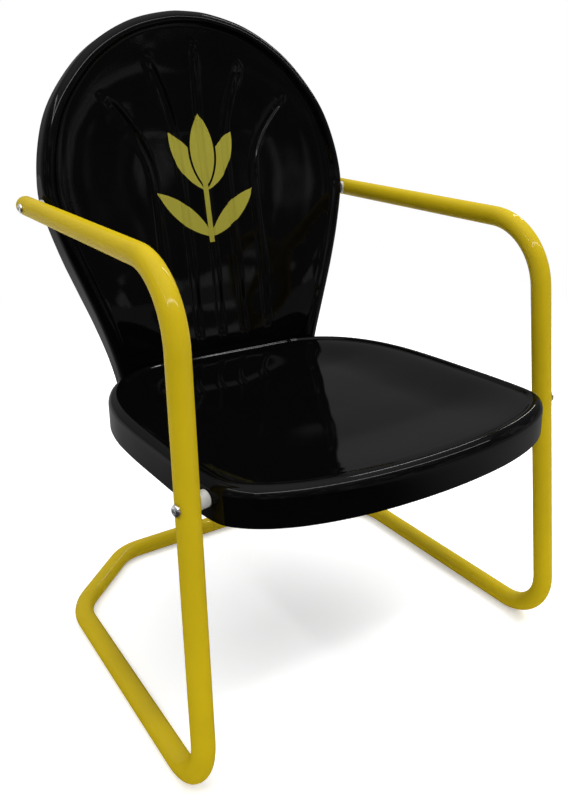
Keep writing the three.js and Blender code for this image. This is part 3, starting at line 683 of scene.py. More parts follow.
def ringed_mesh(name, rings, closed=False):
    """A mesh from rings of (distance, radius, shape, saddle), its ends filled, or joined if closed."""
    points = [p for ring in rings for p in ring_points(*ring)]
    faces = []
    count = len(rings)
    for i in range(count if closed else count - 1):
        here, there = i * RING_POINTS, (i + 1) % count * RING_POINTS
        for j in range(RING_POINTS):
            k = (j + 1) % RING_POINTS
            faces.append((here + j, here + k, there + k, there + j))
    if not closed:
        faces.append(tuple(range(RING_POINTS)))
        faces.append(tuple(range((count - 1) * RING_POINTS, count * RING_POINTS)))
    return new_object(name, np.array(points) / 1000, faces=faces)


# %% [markdown]
# ## Caps in the arms' ends
#
# Each arm ends in a domed steel plug, painted with the frame. A small groove is left where it meets the
# tube, which shows as a fine line round the end.

# %% Arm caps
CAP_GROOVE = 0.5
GROOVE_FLOOR = 0.3
GROOVE_INNER = 1.2
GROOVE_OUTER = 0.25
DOME_RECESS = 0.1
DOME_ROUNDNESS = 0.85
DOME_FLAT = 0.4
CAP_STEPS = 12
dome_rings = [(GROOVE_FLOOR, TUBE_RADIUS - GROOVE_INNER), (GROOVE_FLOOR, TUBE_RADIUS - GROOVE_OUTER)]
for step in range(1, CAP_STEPS):
    angle = math.pi / 2 * step / CAP_STEPS
    rise = CAP_GROOVE + (CAP_DOME_HEIGHT - CAP_GROOVE) * math.sin(angle)
    dome_rings.append((rise, (TUBE_RADIUS - DOME_RECESS) * math.cos(angle) ** DOME_ROUNDNESS))
dome_rings.append((CAP_DOME_HEIGHT, DOME_FLAT))
arm_caps = {}
for name, side in SIDES.items():
    cap = ringed_mesh(f"arm_end_{name}", dome_rings)
    turn = Vector(on_side(arm_direction, side)).to_track_quat("X", "Z").to_matrix().to_4x4()
    cap.data.transform(Matrix.Translation(metres(on_side(CAP_SEAT, side))) @ turn)
    cap.data.materials.append(yellow_enamel)
    arm_caps[name] = settle(cap)

# %% [markdown]
# ## The shells' outlines
#
# The back and the seat are each pressed from one sheet of steel. Their outlines are smooth curves through
# a few measured points, given for the right half and mirrored. A centripetal Catmull-Rom curve passes
# through every point without loops, so the points are ones that can be read off a picture.


# %% Smooth outline
def catmull_rom(points, closed, steps=160):
    """Dense points on a centripetal Catmull-Rom curve through the given ones."""
    points = np.asarray(points, float)
    if closed:
        padded = np.vstack([points[-1], points, points[:2]])
    else:
        padded = np.vstack([2 * points[0] - points[1], points, 2 * points[-1] - points[-2]])
    t = np.arange(steps)[:, None] / steps
    dense = []
    for p0, p1, p2, p3 in zip(padded, padded[1:], padded[2:], padded[3:]):
        d0, d1, d2 = (max(np.linalg.norm(b - a), 1e-8) ** 0.5 for a, b in ((p0, p1), (p1, p2), (p2, p3)))
        leave = ((p1 - p0) / d0 - (p2 - p0) / (d0 + d1) + (p2 - p1) / d1) * d1
        arrive = ((p2 - p1) / d1 - (p3 - p1) / (d1 + d2) + (p3 - p2) / d2) * d1
        square = -3 * p1 + 3 * p2 - 2 * leave - arrive
        cube = 2 * p1 - 2 * p2 + leave + arrive
        dense.append(p1 + t * leave + t**2 * square + t**3 * cube)
    dense.append(padded[-2][None])
    return np.vstack(dense)


# %% Mirrored outline
class Outline:
    """A mirrored outline. A share of its length, from 0 to 1, gives a place on it."""

    def __init__(self, shares, half_width, start, length, closed):
        right = np.array([[u * half_width, start + v * length] for u, v in shares])
        left = right[right[:, 0] > 0][::-1] * [-1, 1]
        self.points = catmull_rom(np.vstack([right, left]), closed)
        gaps = np.linalg.norm(np.diff(self.points, axis=0), axis=1)
        self.lengths = np.concatenate([[0], np.cumsum(gaps)])
        self.closed = closed

    def at(self, shares):
        shares = np.asarray(shares, float)
        reach = (shares % 1 if self.closed else np.clip(shares, 0, 1)) * self.lengths[-1]
        return np.stack([np.interp(reach, self.lengths, self.points[:, i]) for i in (0, 1)], -1)

    def inset(self, shares, inset):
        """Points moved inwards from the outline, which runs anticlockwise."""
        shares = np.asarray(shares, float)
        step = 0.0015
        low, high = shares - step, shares + step
        if not self.closed:
            low, high = np.clip(low, 0, 1), np.clip(high, 0, 1)
        way = self.at(high) - self.at(low)
        way /= np.linalg.norm(way, axis=-1, keepdims=True)
        return self.at(shares) + np.stack([-way[..., 1], way[..., 0]], -1) * np.asarray(inset)[..., None]

    def nearest(self, u, v):
        return self.lengths[np.argmin(np.linalg.norm(self.points - [u, v], axis=1))] / self.lengths[-1]


def smoothstep(value, low, high):
    share = np.clip((np.asarray(value, float) - low) / (high - low), 0, 1)
    return share * share * (3 - 2 * share)


# %% [markdown]
# ## How a pressed edge is shaped
#
# From the dished panel outwards, the sheet first steps up over a crease, runs flat in a narrow band, then
# rolls over a rounded edge into the skirt. The steps below are given as pairs: how far in from the
# outline, and how far down into the sheet. The crease is an S-shaped rise, since a press can't make a
# sharp corner in steel.

# %% Border of a shell
QUARTERS = (0.25, 0.5, 0.75, 1)
CREASE_SHARES = np.linspace(0.92, 0, 13)
CREASE_SKEW = 0.75
ROLL_DEGREES = range(90, -1, -9)


def border_steps(edge_radius, band_width, band_fall, crease_width, crease_depth):
    """Pairs from the crease outwards: how far in from the outline and how far down into the sheet."""
    steps = []
    for share in CREASE_SHARES:
        fall = smoothstep(share**CREASE_SKEW, 0, 1)
        steps.append((band_width + crease_width * share, band_fall + (crease_depth - band_fall) * fall))
    for share in QUARTERS[:-1]:
        steps.append((band_width + (edge_radius - band_width) * share, band_fall * (1 - share)))
    for degrees in ROLL_DEGREES:
        angle = math.radians(degrees)
        steps.append((edge_radius * (1 - math.cos(angle)), edge_radius * (1 - math.sin(angle))))
    return np.array(steps)


# %% Sheet from a panel and its border
def sheet_object(name, panel, edge, border, closed, to_place):
    """A sheet from a panel's grid of (u, v, depth) and strips of such points round its edge."""
    rows, columns = panel.shape[:2]
    points = [panel.reshape(-1, 3)]
    corner = (np.arange(rows - 1)[:, None] * columns + np.arange(columns - 1)).ravel()
    faces = [np.stack([corner, corner + 1, corner + columns + 1, corner + columns], -1)]
    inner = edge[:, 0] * columns + edge[:, 1]
    count = rows * columns
    for ring in range(border.shape[1]):
        outer = count + np.arange(len(edge))
        points.append(border[:, ring])
        here = np.arange(len(edge) if closed else len(edge) - 1)
        there = (here + 1) % len(edge)
        faces.append(np.stack([inner[here], outer[here], outer[there], inner[there]], -1))
        inner = outer
        count += len(edge)
    flat = np.vstack(points)
    values = {"flat_place": flat / 1000}
    return new_object(name, metres(to_place(flat)), faces=np.vstack(faces), values=values)


def grid_edge(rows, columns, closed):
    """[row, column] of each point round a grid: up its right side, over the top, down the left."""
    edge = [(row, columns - 1) for row in range(rows)]
    edge += [(rows - 1, column) for column in range(columns - 2, -1, -1)]
    edge += [(row, 0) for row in range(rows - 2, -1, -1)]
    if closed:
        edge += [(0, column) for column in range(1, columns - 1)]
    return np.array(edge)


# %% [markdown]
# ## The back's shell
#
# The back stands upright where it laps the seat, then bends and leans back. Its outline is the rounded,
# shell-like shape that these chairs are known for. Its panel is dished to take the sitter's back, and its
# edge is turned to the rear into a flange, which is what makes thin sheet stiff.
#
# The panel is a grid whose columns follow the five flutes, so that each flute gets a dozen columns of
# its own. A plain grid of the same size would leave their walls ragged.

# %% Back's sizes
BACK_HALF_WIDTH = ARM_BOLT[0] - TUBE_RADIUS - ARM_GAP
SEAT_HEIGHT = 362.4
SEAT_PITCH = math.radians(1.4)
SEAT_FRONT = -58
SEAT_REAR = 430
SEAT_SKIRT = 42
SEAT_EDGE_RADIUS = 13
SHEET_THICKNESS = 1.5
CLEARANCE = 0.3
REAR_RIM = SEAT_HEIGHT - SEAT_REAR * math.tan(SEAT_PITCH)
LAP_OVERHANG = 3.9
ARM_SHARE_OF_BACK = 0.517
BACK_BOTTOM = REAR_RIM - SEAT_SKIRT - LAP_OVERHANG
BACK_HEIGHT = (ARM_END[2] - BACK_BOTTOM) / ARM_SHARE_OF_BACK
BACK_CREASE_DEPTH = 7.8
BACK_FRONT = SEAT_REAR + CLEARANCE - BACK_CREASE_DEPTH
BACK_EDGE_RADIUS = 12
BACK_BAND = 14
BACK_BAND_FALL = 0.3
BACK_CREASE = 7
BACK_DISH = 9
BACK_DISH_RUN = 110
BACK_DISH_SIDE_SHARE = 0.9
BACK_DISH_START = 40
BACK_DISH_FULL = 126
BEND_START = 64
BEND_RADIUS = 694
RECLINE = math.radians(10.8)
back_outline = Outline(
    [
        (0.674, 0), (0.714, 0.093), (0.783, 0.207), (0.859, 0.311), (0.935, 0.416),
        (0.992, 0.517), (1, 0.566), (0.973, 0.653), (0.905, 0.745), (0.792, 0.824),
        (0.619, 0.904), (0.379, 0.967), (0.13, 0.9965), (0, 1),
    ],
    BACK_HALF_WIDTH,
    0,
    BACK_HEIGHT,
    closed=False,
)
print("the back is", round(2 * BACK_HALF_WIDTH, 1), "wide and", round(BACK_HEIGHT, 1), "mm high")


# %% The back's lean
def back_face(height):
    """How far back the face lies at a height above the back's bottom, and how far it leans there."""
    above = np.asarray(height, float) - BEND_START
    lean = np.arcsin(np.clip(above / BEND_RADIUS, 0, math.sin(RECLINE)))
    straight = np.clip(above - BEND_RADIUS * math.sin(RECLINE), 0, None)
    return BACK_FRONT + BEND_RADIUS * (1 - np.cos(lean)) + straight * math.tan(RECLINE), lean


def place_on_back(flat):
    face, lean = back_face(flat[:, 1])
    depth = flat[:, 2]
    y = face + depth * np.cos(lean)
    z = BACK_BOTTOM + flat[:, 1] - depth * np.sin(lean)
    return np.stack([flat[:, 0], y, z], -1)


# %% [markdown]
# The flutes are stiffening grooves. In the middle they run upright, and higher up they fan out. Here only
# their middle lines are written down, because the grid's columns need them. The grooves are pressed later.

# %% Flute lines
FLUTE_HALF_WIDTH = 7
FLUTE_BOTTOM = 0.125 * BACK_HEIGHT
# Distance from the middle, how far it fans out, shares of the height where that starts and where it ends,
# and the share of the panel's half width that it may reach
FLUTES = [(0, 0, 0.633, 0.918, 0), (38, 37, 0.633, 0.8815, 0.5), (80, 63, 0.557, 0.781, 0.82)]


def flute_line(flute, height, half_width):
    offset, fan, fan_start, top, limit = flute
    share = np.clip(height / BACK_HEIGHT - fan_start, 0, None) / (top - fan_start)
    return np.minimum(offset + fan * share**2, limit * half_width)


def back_columns(height, half_width, finer=6):
    """Distances from the middle of the right half's columns at a height: a dozen or more to each flute."""
    marks = [0.0]
    for flute in FLUTES:
        middle = float(flute_line(flute, height, half_width))
        if middle > FLUTE_HALF_WIDTH:
            marks += [(marks[-1] + middle - FLUTE_HALF_WIDTH) / 2, middle - FLUTE_HALF_WIDTH, middle]
        marks.append(middle + FLUTE_HALF_WIDTH)
    last = marks[-1]
    marks += [last + (half_width - last) * share for share in (1 / 3, 2 / 3, 1)]
    positions = np.arange(len(marks))
    return np.interp(np.linspace(0, len(marks) - 1, (len(marks) - 1) * finer + 1), positions, marks)


print(2 * len(FLUTES) - 1, "flutes, each", 2 * FLUTE_HALF_WIDTH, "mm wide")

# %% Panel of the back
ROWS = 150
TOP_STEPS = 1200
TOP_CORNER_SHARES = (0.619, 0.904)
panel_inset = BACK_BAND + BACK_CREASE
corner = back_outline.nearest(
    TOP_CORNER_SHARES[0] * BACK_HALF_WIDTH, TOP_CORNER_SHARES[1] * BACK_HEIGHT
)
side_shares = np.linspace(0, corner, ROWS)
side_points = back_outline.inset(side_shares, np.full(ROWS, panel_inset))
corner_point = side_points[-1]
top_half = back_columns(BACK_HEIGHT, corner_point[0])
over_top = np.linspace(corner, 1 - corner, TOP_STEPS)
over_points = back_outline.inset(over_top, np.full(TOP_STEPS, panel_inset))
top_xs = np.concatenate([-top_half[:0:-1], top_half])
top_shares = np.interp(-top_xs, -over_points[:, 0], over_top)
arch = back_outline.inset(top_shares, np.full(len(top_xs), panel_inset))[:, 1] - corner_point[1]

back_panel = np.zeros((ROWS, len(top_xs), 3))
for row in range(ROWS):
    half_width, low_height = side_points[row]
    rise = (row / (ROWS - 1)) ** 3
    half = back_columns(low_height + rise * arch.max() / 2, half_width)
    xs = np.concatenate([-half[:0:-1], half])
    heights = low_height + rise * arch
    to_side = (half_width - np.abs(xs)) * BACK_DISH_SIDE_SHARE
    to_top = (1 - rise) * (BACK_HEIGHT - heights)
    dish = smoothstep(heights, BACK_DISH_START, BACK_DISH_FULL)
    dish = dish * smoothstep(to_side, 0, BACK_DISH_RUN) * smoothstep(to_top, 0, BACK_DISH_RUN)
    back_panel[row] = np.stack([xs, heights, BACK_CREASE_DEPTH + BACK_DISH * dish], -1)
print("the back's panel has", back_panel.shape[0], "rows and", back_panel.shape[1], "columns")


# %% Border and flange of the back
FLANGE_DEPTH = 31
FLANGE_FLARE = math.radians(1)
STRAIGHT_FLANGE_SHARES = (0.045, 0.595)


def flange_steps(heights):
    """Inset and depth down the flange. Its rear edge is straight behind the bend, so it is deeper there."""
    low, high = [share * BACK_HEIGHT for share in STRAIGHT_FLANGE_SHARES]
    share = np.clip((heights - low) / (high - low), 0, 1)
    straight = back_face(low)[0] + (back_face(high)[0] - back_face(low)[0]) * share
    inside = (heights > low) & (heights < high)
    depth = FLANGE_DEPTH + np.where(inside, straight - back_face(heights)[0], 0)
    return [BACK_EDGE_RADIUS + (depth - BACK_EDGE_RADIUS) * part for part in QUARTERS]


back_edge = grid_edge(ROWS, len(top_xs), closed=False)
edge_shares = np.where(
    back_edge[:, 0] == ROWS - 1,
    top_shares[back_edge[:, 1]],
    np.where(back_edge[:, 1] > 0, side_shares[back_edge[:, 0]], 1 - side_shares[back_edge[:, 0]]),
)
border = []
steps = border_steps(BACK_EDGE_RADIUS, BACK_BAND, BACK_BAND_FALL, BACK_CREASE, BACK_CREASE_DEPTH)
for inset, depth in steps:
    flat = back_outline.inset(edge_shares, np.full(len(edge_shares), inset))
    border.append(np.column_stack([flat, np.full(len(flat), depth)]))
outline_heights = back_outline.at(edge_shares)[:, 1]
for depth in flange_steps(outline_heights):
    flare = (BACK_EDGE_RADIUS - depth) * math.tan(FLANGE_FLARE)
    flat = back_outline.inset(edge_shares, flare)
    border.append(np.column_stack([flat, depth]))
back = sheet_object("back", back_panel, back_edge, np.stack(border, 1), False, place_on_back)
print("the back's sheet has", len(back.data.polygons), "faces")

# %% [markdown]
# ## Pressing the flutes
#
# A press pushes a groove along each line. Geometry Nodes do the same: for every point of the sheet,
# Geometry Proximity measures how far it is from the nearest flute line on the flat pattern, and Set
# Position pushes it in where that is less than half a flute's width. A second proximity, to the lines'
# end points, lets the groove run out gently at both ends.
#
# The flat pattern is kept on the points as `flat_place`, so the lines can be drawn flat as well.

# %% Tree: press flutes
press_flutes, given, made = new_group(
    "press flutes",
    "GeometryNodeTree",
    {
        "Sheet": ("Geometry", None),
        "Lines": ("Object", None),
        "Line Ends": ("Object", None),
        "Half Width": ("Float", 0.007),
        "Flat Bottom": ("Float", 0.0030),
        "Depth": ("Float", 0.0026),
        "Taper": ("Float", 0.022),
        "Finish": ("Material", None),
    },
    {"Pressed Sheet": "Geometry"},
)
press_flutes.is_modifier = True

# %% Nodes that press the flutes
flat_place = add_node(
    press_flutes, "GeometryNodeInputNamedAttribute", {"Name": "flat_place"}, data_type="FLOAT_VECTOR"
).outputs[0]
flattened = add_node(
    press_flutes, "ShaderNodeVectorMath", {0: flat_place, 1: (1, 1, 0)}, operation="MULTIPLY"
).outputs[0]
lines = add_node(press_flutes, "GeometryNodeObjectInfo", {"Object": given["Lines"]}).outputs["Geometry"]
ends = add_node(press_flutes, "GeometryNodeObjectInfo", {"Object": given["Line Ends"]}).outputs["Geometry"]
to_line = add_node(
    press_flutes, "GeometryNodeProximity", {0: lines, "Sample Position": flattened}, target_element="EDGES"
).outputs["Distance"]
to_end = add_node(
    press_flutes, "GeometryNodeProximity", {0: ends, "Sample Position": flattened}, target_element="POINTS"
).outputs["Distance"]
wall = smooth_range(press_flutes, to_line, given["Half Width"], given["Flat Bottom"])
runs_out = smooth_range(press_flutes, to_end, 0.0, given["Taper"])
depth = maths(press_flutes, "MULTIPLY", maths(press_flutes, "MULTIPLY", wall, runs_out), given["Depth"])
inwards = maths(press_flutes, "MULTIPLY", depth, -1.0)
normal = add_node(press_flutes, "GeometryNodeInputNormal").outputs["Normal"]
offset = add_node(
    press_flutes, "ShaderNodeVectorMath", {0: normal, "Scale": inwards}, operation="SCALE"
).outputs[0]
pressed = add_node(
    press_flutes, "GeometryNodeSetPosition", {"Geometry": given["Sheet"], "Offset": offset}
).outputs[0]
end_tree(press_flutes, pressed, given["Finish"], made["Pressed Sheet"])
print("press flutes:", len(press_flutes.nodes), "nodes")

# %% Press the flutes into the back
line_points = []
line_edges = []
end_points = []
LINE_STEPS = 59
for flute in FLUTES:
    heights = np.linspace(FLUTE_BOTTOM, flute[3] * BACK_HEIGHT, LINE_STEPS + 1)
    half_widths = np.interp(heights, side_points[:, 1], side_points[:, 0])
    xs = flute_line(flute, heights, half_widths)
    for side in (-1, 1) if flute[0] else (1,):
        first = len(line_points)
        line_points += [(side * x / 1000, h / 1000, 0) for x, h in zip(xs, heights)]
        line_edges += [(i, i + 1) for i in range(first, first + LINE_STEPS)]
        end_points += [line_points[first], line_points[-1]]
flute_lines = new_object("flute_lines", line_points, line_edges)
flute_ends = new_object("flute_ends", end_points)
add_tree(back, press_flutes, Lines=flute_lines, Line_Ends=flute_ends, Finish=back_enamel)
settle(back)
for helper in (flute_lines, flute_ends):
    bpy.data.objects.remove(helper)
print(len(end_points) // 2, "flutes pressed")


# %% [markdown]
# ## Thickness and holes
#
# So far the back is a surface without thickness. Solidify gives it the sheet's 1.5 mm, inwards from the
# face. The bolt holes are then cut with Boolean, as a drill would. The cutters are plain rods and are
# thrown away after use.


# %% Thickness and drilled holes
HOLE_DIAMETER = 6.6
LAP_DRILL_START = 12
LAP_DRILL_LENGTH = 30
SIDE_DRILL_LENGTH = 40


def drill(name, start, direction, length):
    """A rod for cutting a hole, from a place in millimetres along a direction."""
    bit = ringed_mesh(name, [(0, HOLE_DIAMETER / 2), (length, HOLE_DIAMETER / 2)])
    turn = Vector(direction).to_track_quat("X", "Z").to_matrix().to_4x4()
    bit.data.transform(Matrix.Translation(metres(start)) @ turn)
    return settle(bit)


def thicken_and_drill(sheet, drills):
    """Give the sheet its thickness, cut its holes and throw the drills away."""
    solid = sheet.modifiers.new("sheet thickness", "SOLIDIFY")
    solid.thickness = SHEET_THICKNESS / 1000
    solid.offset = -1
    solid.use_even_offset = True
    settle(sheet)
    for bit in drills:
        hole = sheet.modifiers.new(bit.name, "BOOLEAN")
        hole.operation = "DIFFERENCE"
        hole.solver = "EXACT"
        hole.object = bit
    settle(sheet)
    for bit in drills:
        bpy.data.objects.remove(bit)


# %% Where the bolts go
LAP_HEIGHT = REAR_RIM - (SEAT_EDGE_RADIUS + SEAT_SKIRT) / 2
LEG_BOLT_DROP = 20.4
LEG_GAP = 5.5
LEG_SWING = math.radians(12)
LAP_SHARES = (-0.39, -0.135, 0.135, 0.39)
leg_share = (SEAT_HEIGHT - LEG_BOLT_DROP - FRONT_CORNER[2]) / (ARM_CORNER[2] - FRONT_CORNER[2])
LEG_BOLT = FRONT_CORNER + (ARM_CORNER - FRONT_CORNER) * leg_share
SEAT_HALF_WIDTH = LEG_BOLT[0] - TUBE_RADIUS - LEG_GAP
LAP_XS = [share * SEAT_HALF_WIDTH for share in LAP_SHARES]
print("the arm's bolt is at", ARM_BOLT.round(1), "and the leg's at", LEG_BOLT.round(1))


# %% Holes in the back
def lap_drills():
    """Drills for the bolts of the lap, from behind it forwards."""
    starts = [[x, SEAT_REAR + LAP_DRILL_START, LAP_HEIGHT] for x in LAP_XS]
    return [drill(f"lap_drill_{i}", start, (0, -1, 0), LAP_DRILL_LENGTH) for i, start in enumerate(starts)]


back_drills = lap_drills()
for name, side in SIDES.items():
    inwards = (-side, 0, 0)
    back_drills.append(drill(f"arm_drill_{name}", on_side(ARM_BOLT, side), inwards, SIDE_DRILL_LENGTH))
thicken_and_drill(back, back_drills)

# %% [markdown]
# ## The seat's shell
#
# The seat is pressed like the back, with a deep skirt all round. It is rounder at the front, where the
# sitter's knees bend, and its skirt is pressed flat behind, where the back laps it.
#
# Its panel is a grid stretched between four sides of the outline. A Coons patch does that: each inner
# point is blended from the four sides and the four corners, so that the grid follows the curves smoothly.

# %% Seat's outline
seat_outline = Outline(
    [
        (0, 0), (0.42, 0.016), (0.7, 0.053), (0.86, 0.096), (0.95, 0.141), (0.973, 0.17), (0.985, 0.205),
        (0.996, 0.3), (1, 0.42), (1, 0.58), (0.985, 0.69), (0.94, 0.79), (0.865, 0.87), (0.775, 0.926),
        (0.674, 0.965), (0.568, 0.99), (0.442, 1.002), (0.2, 1.002), (0, 1.002),
    ],
    SEAT_HALF_WIDTH,
    SEAT_FRONT,
    SEAT_REAR - SEAT_FRONT,
    closed=True,
)
SEAT_BAND = 14.5
SEAT_BAND_FALL = 0.5
SEAT_CREASE = 6
SEAT_CREASE_DEPTH = 3.5
SEAT_DISH = 13
SEAT_DISH_RUN = 130
print("the seat is", round(2 * SEAT_HALF_WIDTH, 1), "wide and", SEAT_REAR - SEAT_FRONT, "mm deep")


def place_on_seat(flat):
    rim = SEAT_HEIGHT - flat[:, 1] * math.tan(SEAT_PITCH)
    return np.stack([flat[:, 0], flat[:, 1], rim - flat[:, 2]], -1)


def seat_points(shares, inset):
    """Points inside the seat's outline, with the rear pressed flat."""
    flat = seat_outline.inset(shares, np.full(np.shape(shares), float(inset)))
    flat[..., 1] = np.minimum(flat[..., 1], SEAT_REAR - inset)
    return flat


# %% Panel of the seat
SEAT_COUNT = 120
FRONT_CORNER_SHARES = (0.93, 0.125)
REAR_CORNER_SHARES = (0.82, 0.9)
depth_of_seat = SEAT_REAR - SEAT_FRONT
front_corner, rear_corner = [
    seat_outline.nearest(across * SEAT_HALF_WIDTH, SEAT_FRONT + back_share * depth_of_seat)
    for across, back_share in (FRONT_CORNER_SHARES, REAR_CORNER_SHARES)
]
crowded = (1 - np.cos(np.linspace(0, math.pi, SEAT_COUNT))) / 2
inset = SEAT_BAND + SEAT_CREASE
left_shares = 1 - front_corner + (front_corner - rear_corner) * crowded
right_shares = front_corner + (rear_corner - front_corner) * crowded
front_shares = -front_corner + 2 * front_corner * crowded
rear_shares = 1 - rear_corner + (2 * rear_corner - 1) * crowded
left = seat_points(left_shares, inset)
right = seat_points(right_shares, inset)
front = seat_points(front_shares, inset)
rear = seat_points(rear_shares, inset)
u = crowded[None, :, None]
v = crowded[:, None, None]
between_sides = left[:, None] * (1 - u) + right[:, None] * u
between_ends = front[None] * (1 - v) + rear[None] * v
front_corners = left[0] * (1 - u) + right[0] * u
rear_corners = left[-1] * (1 - u) + right[-1] * u
flat = between_sides + between_ends - front_corners * (1 - v) - rear_corners * v
sideways = smoothstep(np.minimum(u, 1 - u)[..., 0] * 2 * SEAT_HALF_WIDTH, 0, SEAT_DISH_RUN)
lengthwise = smoothstep(np.minimum(v, 1 - v)[..., 0] * depth_of_seat, 0, SEAT_DISH_RUN)
seat_depth = SEAT_CREASE_DEPTH + SEAT_DISH * sideways * lengthwise
seat_panel = np.concatenate([flat, seat_depth[..., None]], -1)
print("the seat's panel has", SEAT_COUNT, "rows and columns")

# %% Border, skirt and holes of the seat
seat_edge = grid_edge(SEAT_COUNT, SEAT_COUNT, closed=True)
last = SEAT_COUNT - 1
edge_shares = np.select(
    [seat_edge[:, 1] == last, seat_edge[:, 0] == last, seat_edge[:, 1] == 0],
    [right_shares[seat_edge[:, 0]], rear_shares[seat_edge[:, 1]], left_shares[seat_edge[:, 0]]],
    front_shares[seat_edge[:, 1]],
)
steps = border_steps(SEAT_EDGE_RADIUS, SEAT_BAND, SEAT_BAND_FALL, SEAT_CREASE, SEAT_CREASE_DEPTH)
skirt = [(0, SEAT_EDGE_RADIUS + (SEAT_SKIRT - SEAT_EDGE_RADIUS) * share) for share in QUARTERS]
border = []
for inset, depth in [*steps, *skirt]:
    flat = seat_points(edge_shares, inset)
    border.append(np.column_stack([flat, np.full(len(flat), depth)]))
seat = sheet_object("seat", seat_panel, seat_edge, np.stack(border, 1), True, place_on_seat)
seat.data.materials.append(black_enamel)
seat_drills = lap_drills()
for name, side in SIDES.items():
    inwards = on_side((-math.cos(LEG_SWING), math.sin(LEG_SWING), 0), side)
    seat_drills.append(drill(f"leg_drill_{name}", on_side(LEG_BOLT, side), inwards, SIDE_DRILL_LENGTH))
thicken_and_drill(seat, seat_drills)

# %% [markdown]
# ## Setting out the fasteners
#
# Thirty small pieces hold the chair together: bolts, washers, nuts and spacers at the arms, at the legs
# and along the lap of back and seat, and two screws in the crossbar. Each kind is modelled once, along
# +X from its own zero, and one Geometry Nodes tree sets it out: an instance on every point, turned as
# the point's `turn` says. The instances are then made real, since the finished part keeps none.

# %% Tree: set out
set_out, given, made = new_group(
    "set out",
    "GeometryNodeTree",
    {"Places": ("Geometry", None), "Pattern": ("Object", None), "Finish": ("Material", None)},
    {"Pieces": "Geometry"},
)
set_out.is_modifier = True
pattern = add_node(set_out, "GeometryNodeObjectInfo", {"Object": given["Pattern"]}).outputs["Geometry"]
turn = add_node(
    set_out, "GeometryNodeInputNamedAttribute", {"Name": "turn"}, data_type="FLOAT_VECTOR"
).outputs[0]
rotation = add_node(set_out, "FunctionNodeEulerToRotation", {0: turn}).outputs[0]
set_pieces = add_node(
    set_out,
    "GeometryNodeInstanceOnPoints",
    {"Points": given["Places"], "Instance": pattern, "Rotation": rotation},
).outputs[0]
end_tree(set_out, set_pieces, given["Finish"], made["Pieces"])
print("set out:", len(set_out.nodes), "nodes")

# %% [markdown]
# The places come in three lots. At an arm or a leg, the bolt runs inwards from the tube's middle, and the
# leg's bolts are swung a little to meet the seat's rounded side. The lap's bolts run forwards from behind.

# %% Places of the fasteners
side_turns = {-1: 0.0, 1: math.pi}
arm_places = [(on_side(ARM_BOLT, s), (0, 0, side_turns[s])) for s in SIDES.values()]
leg_places = [(on_side(LEG_BOLT, s), (0, 0, side_turns[s] - s * LEG_SWING)) for s in SIDES.values()]
FORWARDS = (0, 0, -math.pi / 2)
lap_head = BACK_FRONT + BACK_CREASE_DEPTH + SHEET_THICKNESS + CLEARANCE
lap_places = [([x, lap_head, LAP_HEIGHT], FORWARDS) for x in LAP_XS]
SCREW_X = 35
SCREW_GAP = 0.1
screw_y = BASE_DEPTH + TUBE_RADIUS + SCREW_GAP
screw_places = [([s * SCREW_X, screw_y, TUBE_RADIUS], FORWARDS) for s in SIDES.values()]


def spread(name, pattern, places, finish):
    """Set a pattern out on its places as one piece, and throw the pattern away."""
    piece = new_object(name, metres([p for p, _ in places]), values={"turn": [t for _, t in places]})
    add_tree(piece, set_out, Pattern=pattern, Finish=finish)
    settle(piece, sharp=30)
    bpy.data.objects.remove(pattern)
    return piece


# %% [markdown]
# A button-head bolt has a low dome with a hexagonal socket. The dome's rim is a thin cylinder, and the
# socket's mouth is slightly chamfered, which is what catches the light. A washer and a nut have small
# chamfers too, because no real edge is perfectly sharp.


# %% Patterns of bolt and washer
HEAD_HEIGHT = 3.3
HEAD_RIM = 0.7
HEAD_TOP_SHARE = 0.24
DOME_TOP_SHARE = 0.12
DOME_DEGREES = (72, 58, 44, 30, 18)
BOLT_DOME_ROUNDNESS = 0.8
RIM_STEP = 0.05
SOCKET_DEPTH = 3.0
SOCKET_CHAMFER_DEPTH = 0.15
SOCKET_CHAMFER_WIDTH = 0.35
TIP_CHAMFER = 0.8
WASHER_THICKNESS = 1.5


def bolt_pattern(head_seat, reach, head=12.5, head_height=HEAD_HEIGHT, socket=4.0, shank=6.0):
    """A bolt whose head sits at `head_seat` and whose tip is at `reach`."""
    top = head_seat - head_height
    rings = [(top + depth, socket / 2, "hexagon") for depth in (SOCKET_DEPTH, SOCKET_CHAMFER_DEPTH)]
    rings += [(top, socket / 2 + SOCKET_CHAMFER_WIDTH), (top, head * HEAD_TOP_SHARE)]
    for degrees in DOME_DEGREES:
        angle = math.radians(degrees)
        rise = HEAD_RIM + (head_height - HEAD_RIM) * math.sin(angle)
        spread_share = DOME_TOP_SHARE + (1 - DOME_TOP_SHARE) * math.cos(angle) ** BOLT_DOME_ROUNDNESS
        rings.append((head_seat - rise, head / 2 * spread_share))
    rings += [(head_seat - HEAD_RIM - RIM_STEP, head / 2), (head_seat, head / 2), (head_seat, shank / 2)]
    rings += [(reach - TIP_CHAMFER, shank / 2), (reach, shank / 2 - TIP_CHAMFER)]
    return ringed_mesh("bolt_pattern", rings)


def washer_pattern(start, across=12.0, thickness=WASHER_THICKNESS, chamfer=0.25):
    end = start + thickness
    rings = [(end, HOLE_DIAMETER / 2), (start, HOLE_DIAMETER / 2), (start, across / 2 - chamfer)]
    rings += [(start + chamfer, across / 2), (end - chamfer, across / 2), (end, across / 2 - chamfer)]
    return ringed_mesh("washer_pattern", rings, closed=True)


# %% Patterns of nut and spacer
NUT_FOOT = 0.5
NUT_FOOT_INSET = 0.1
NUT_COLLAR_HEIGHT = 1.6
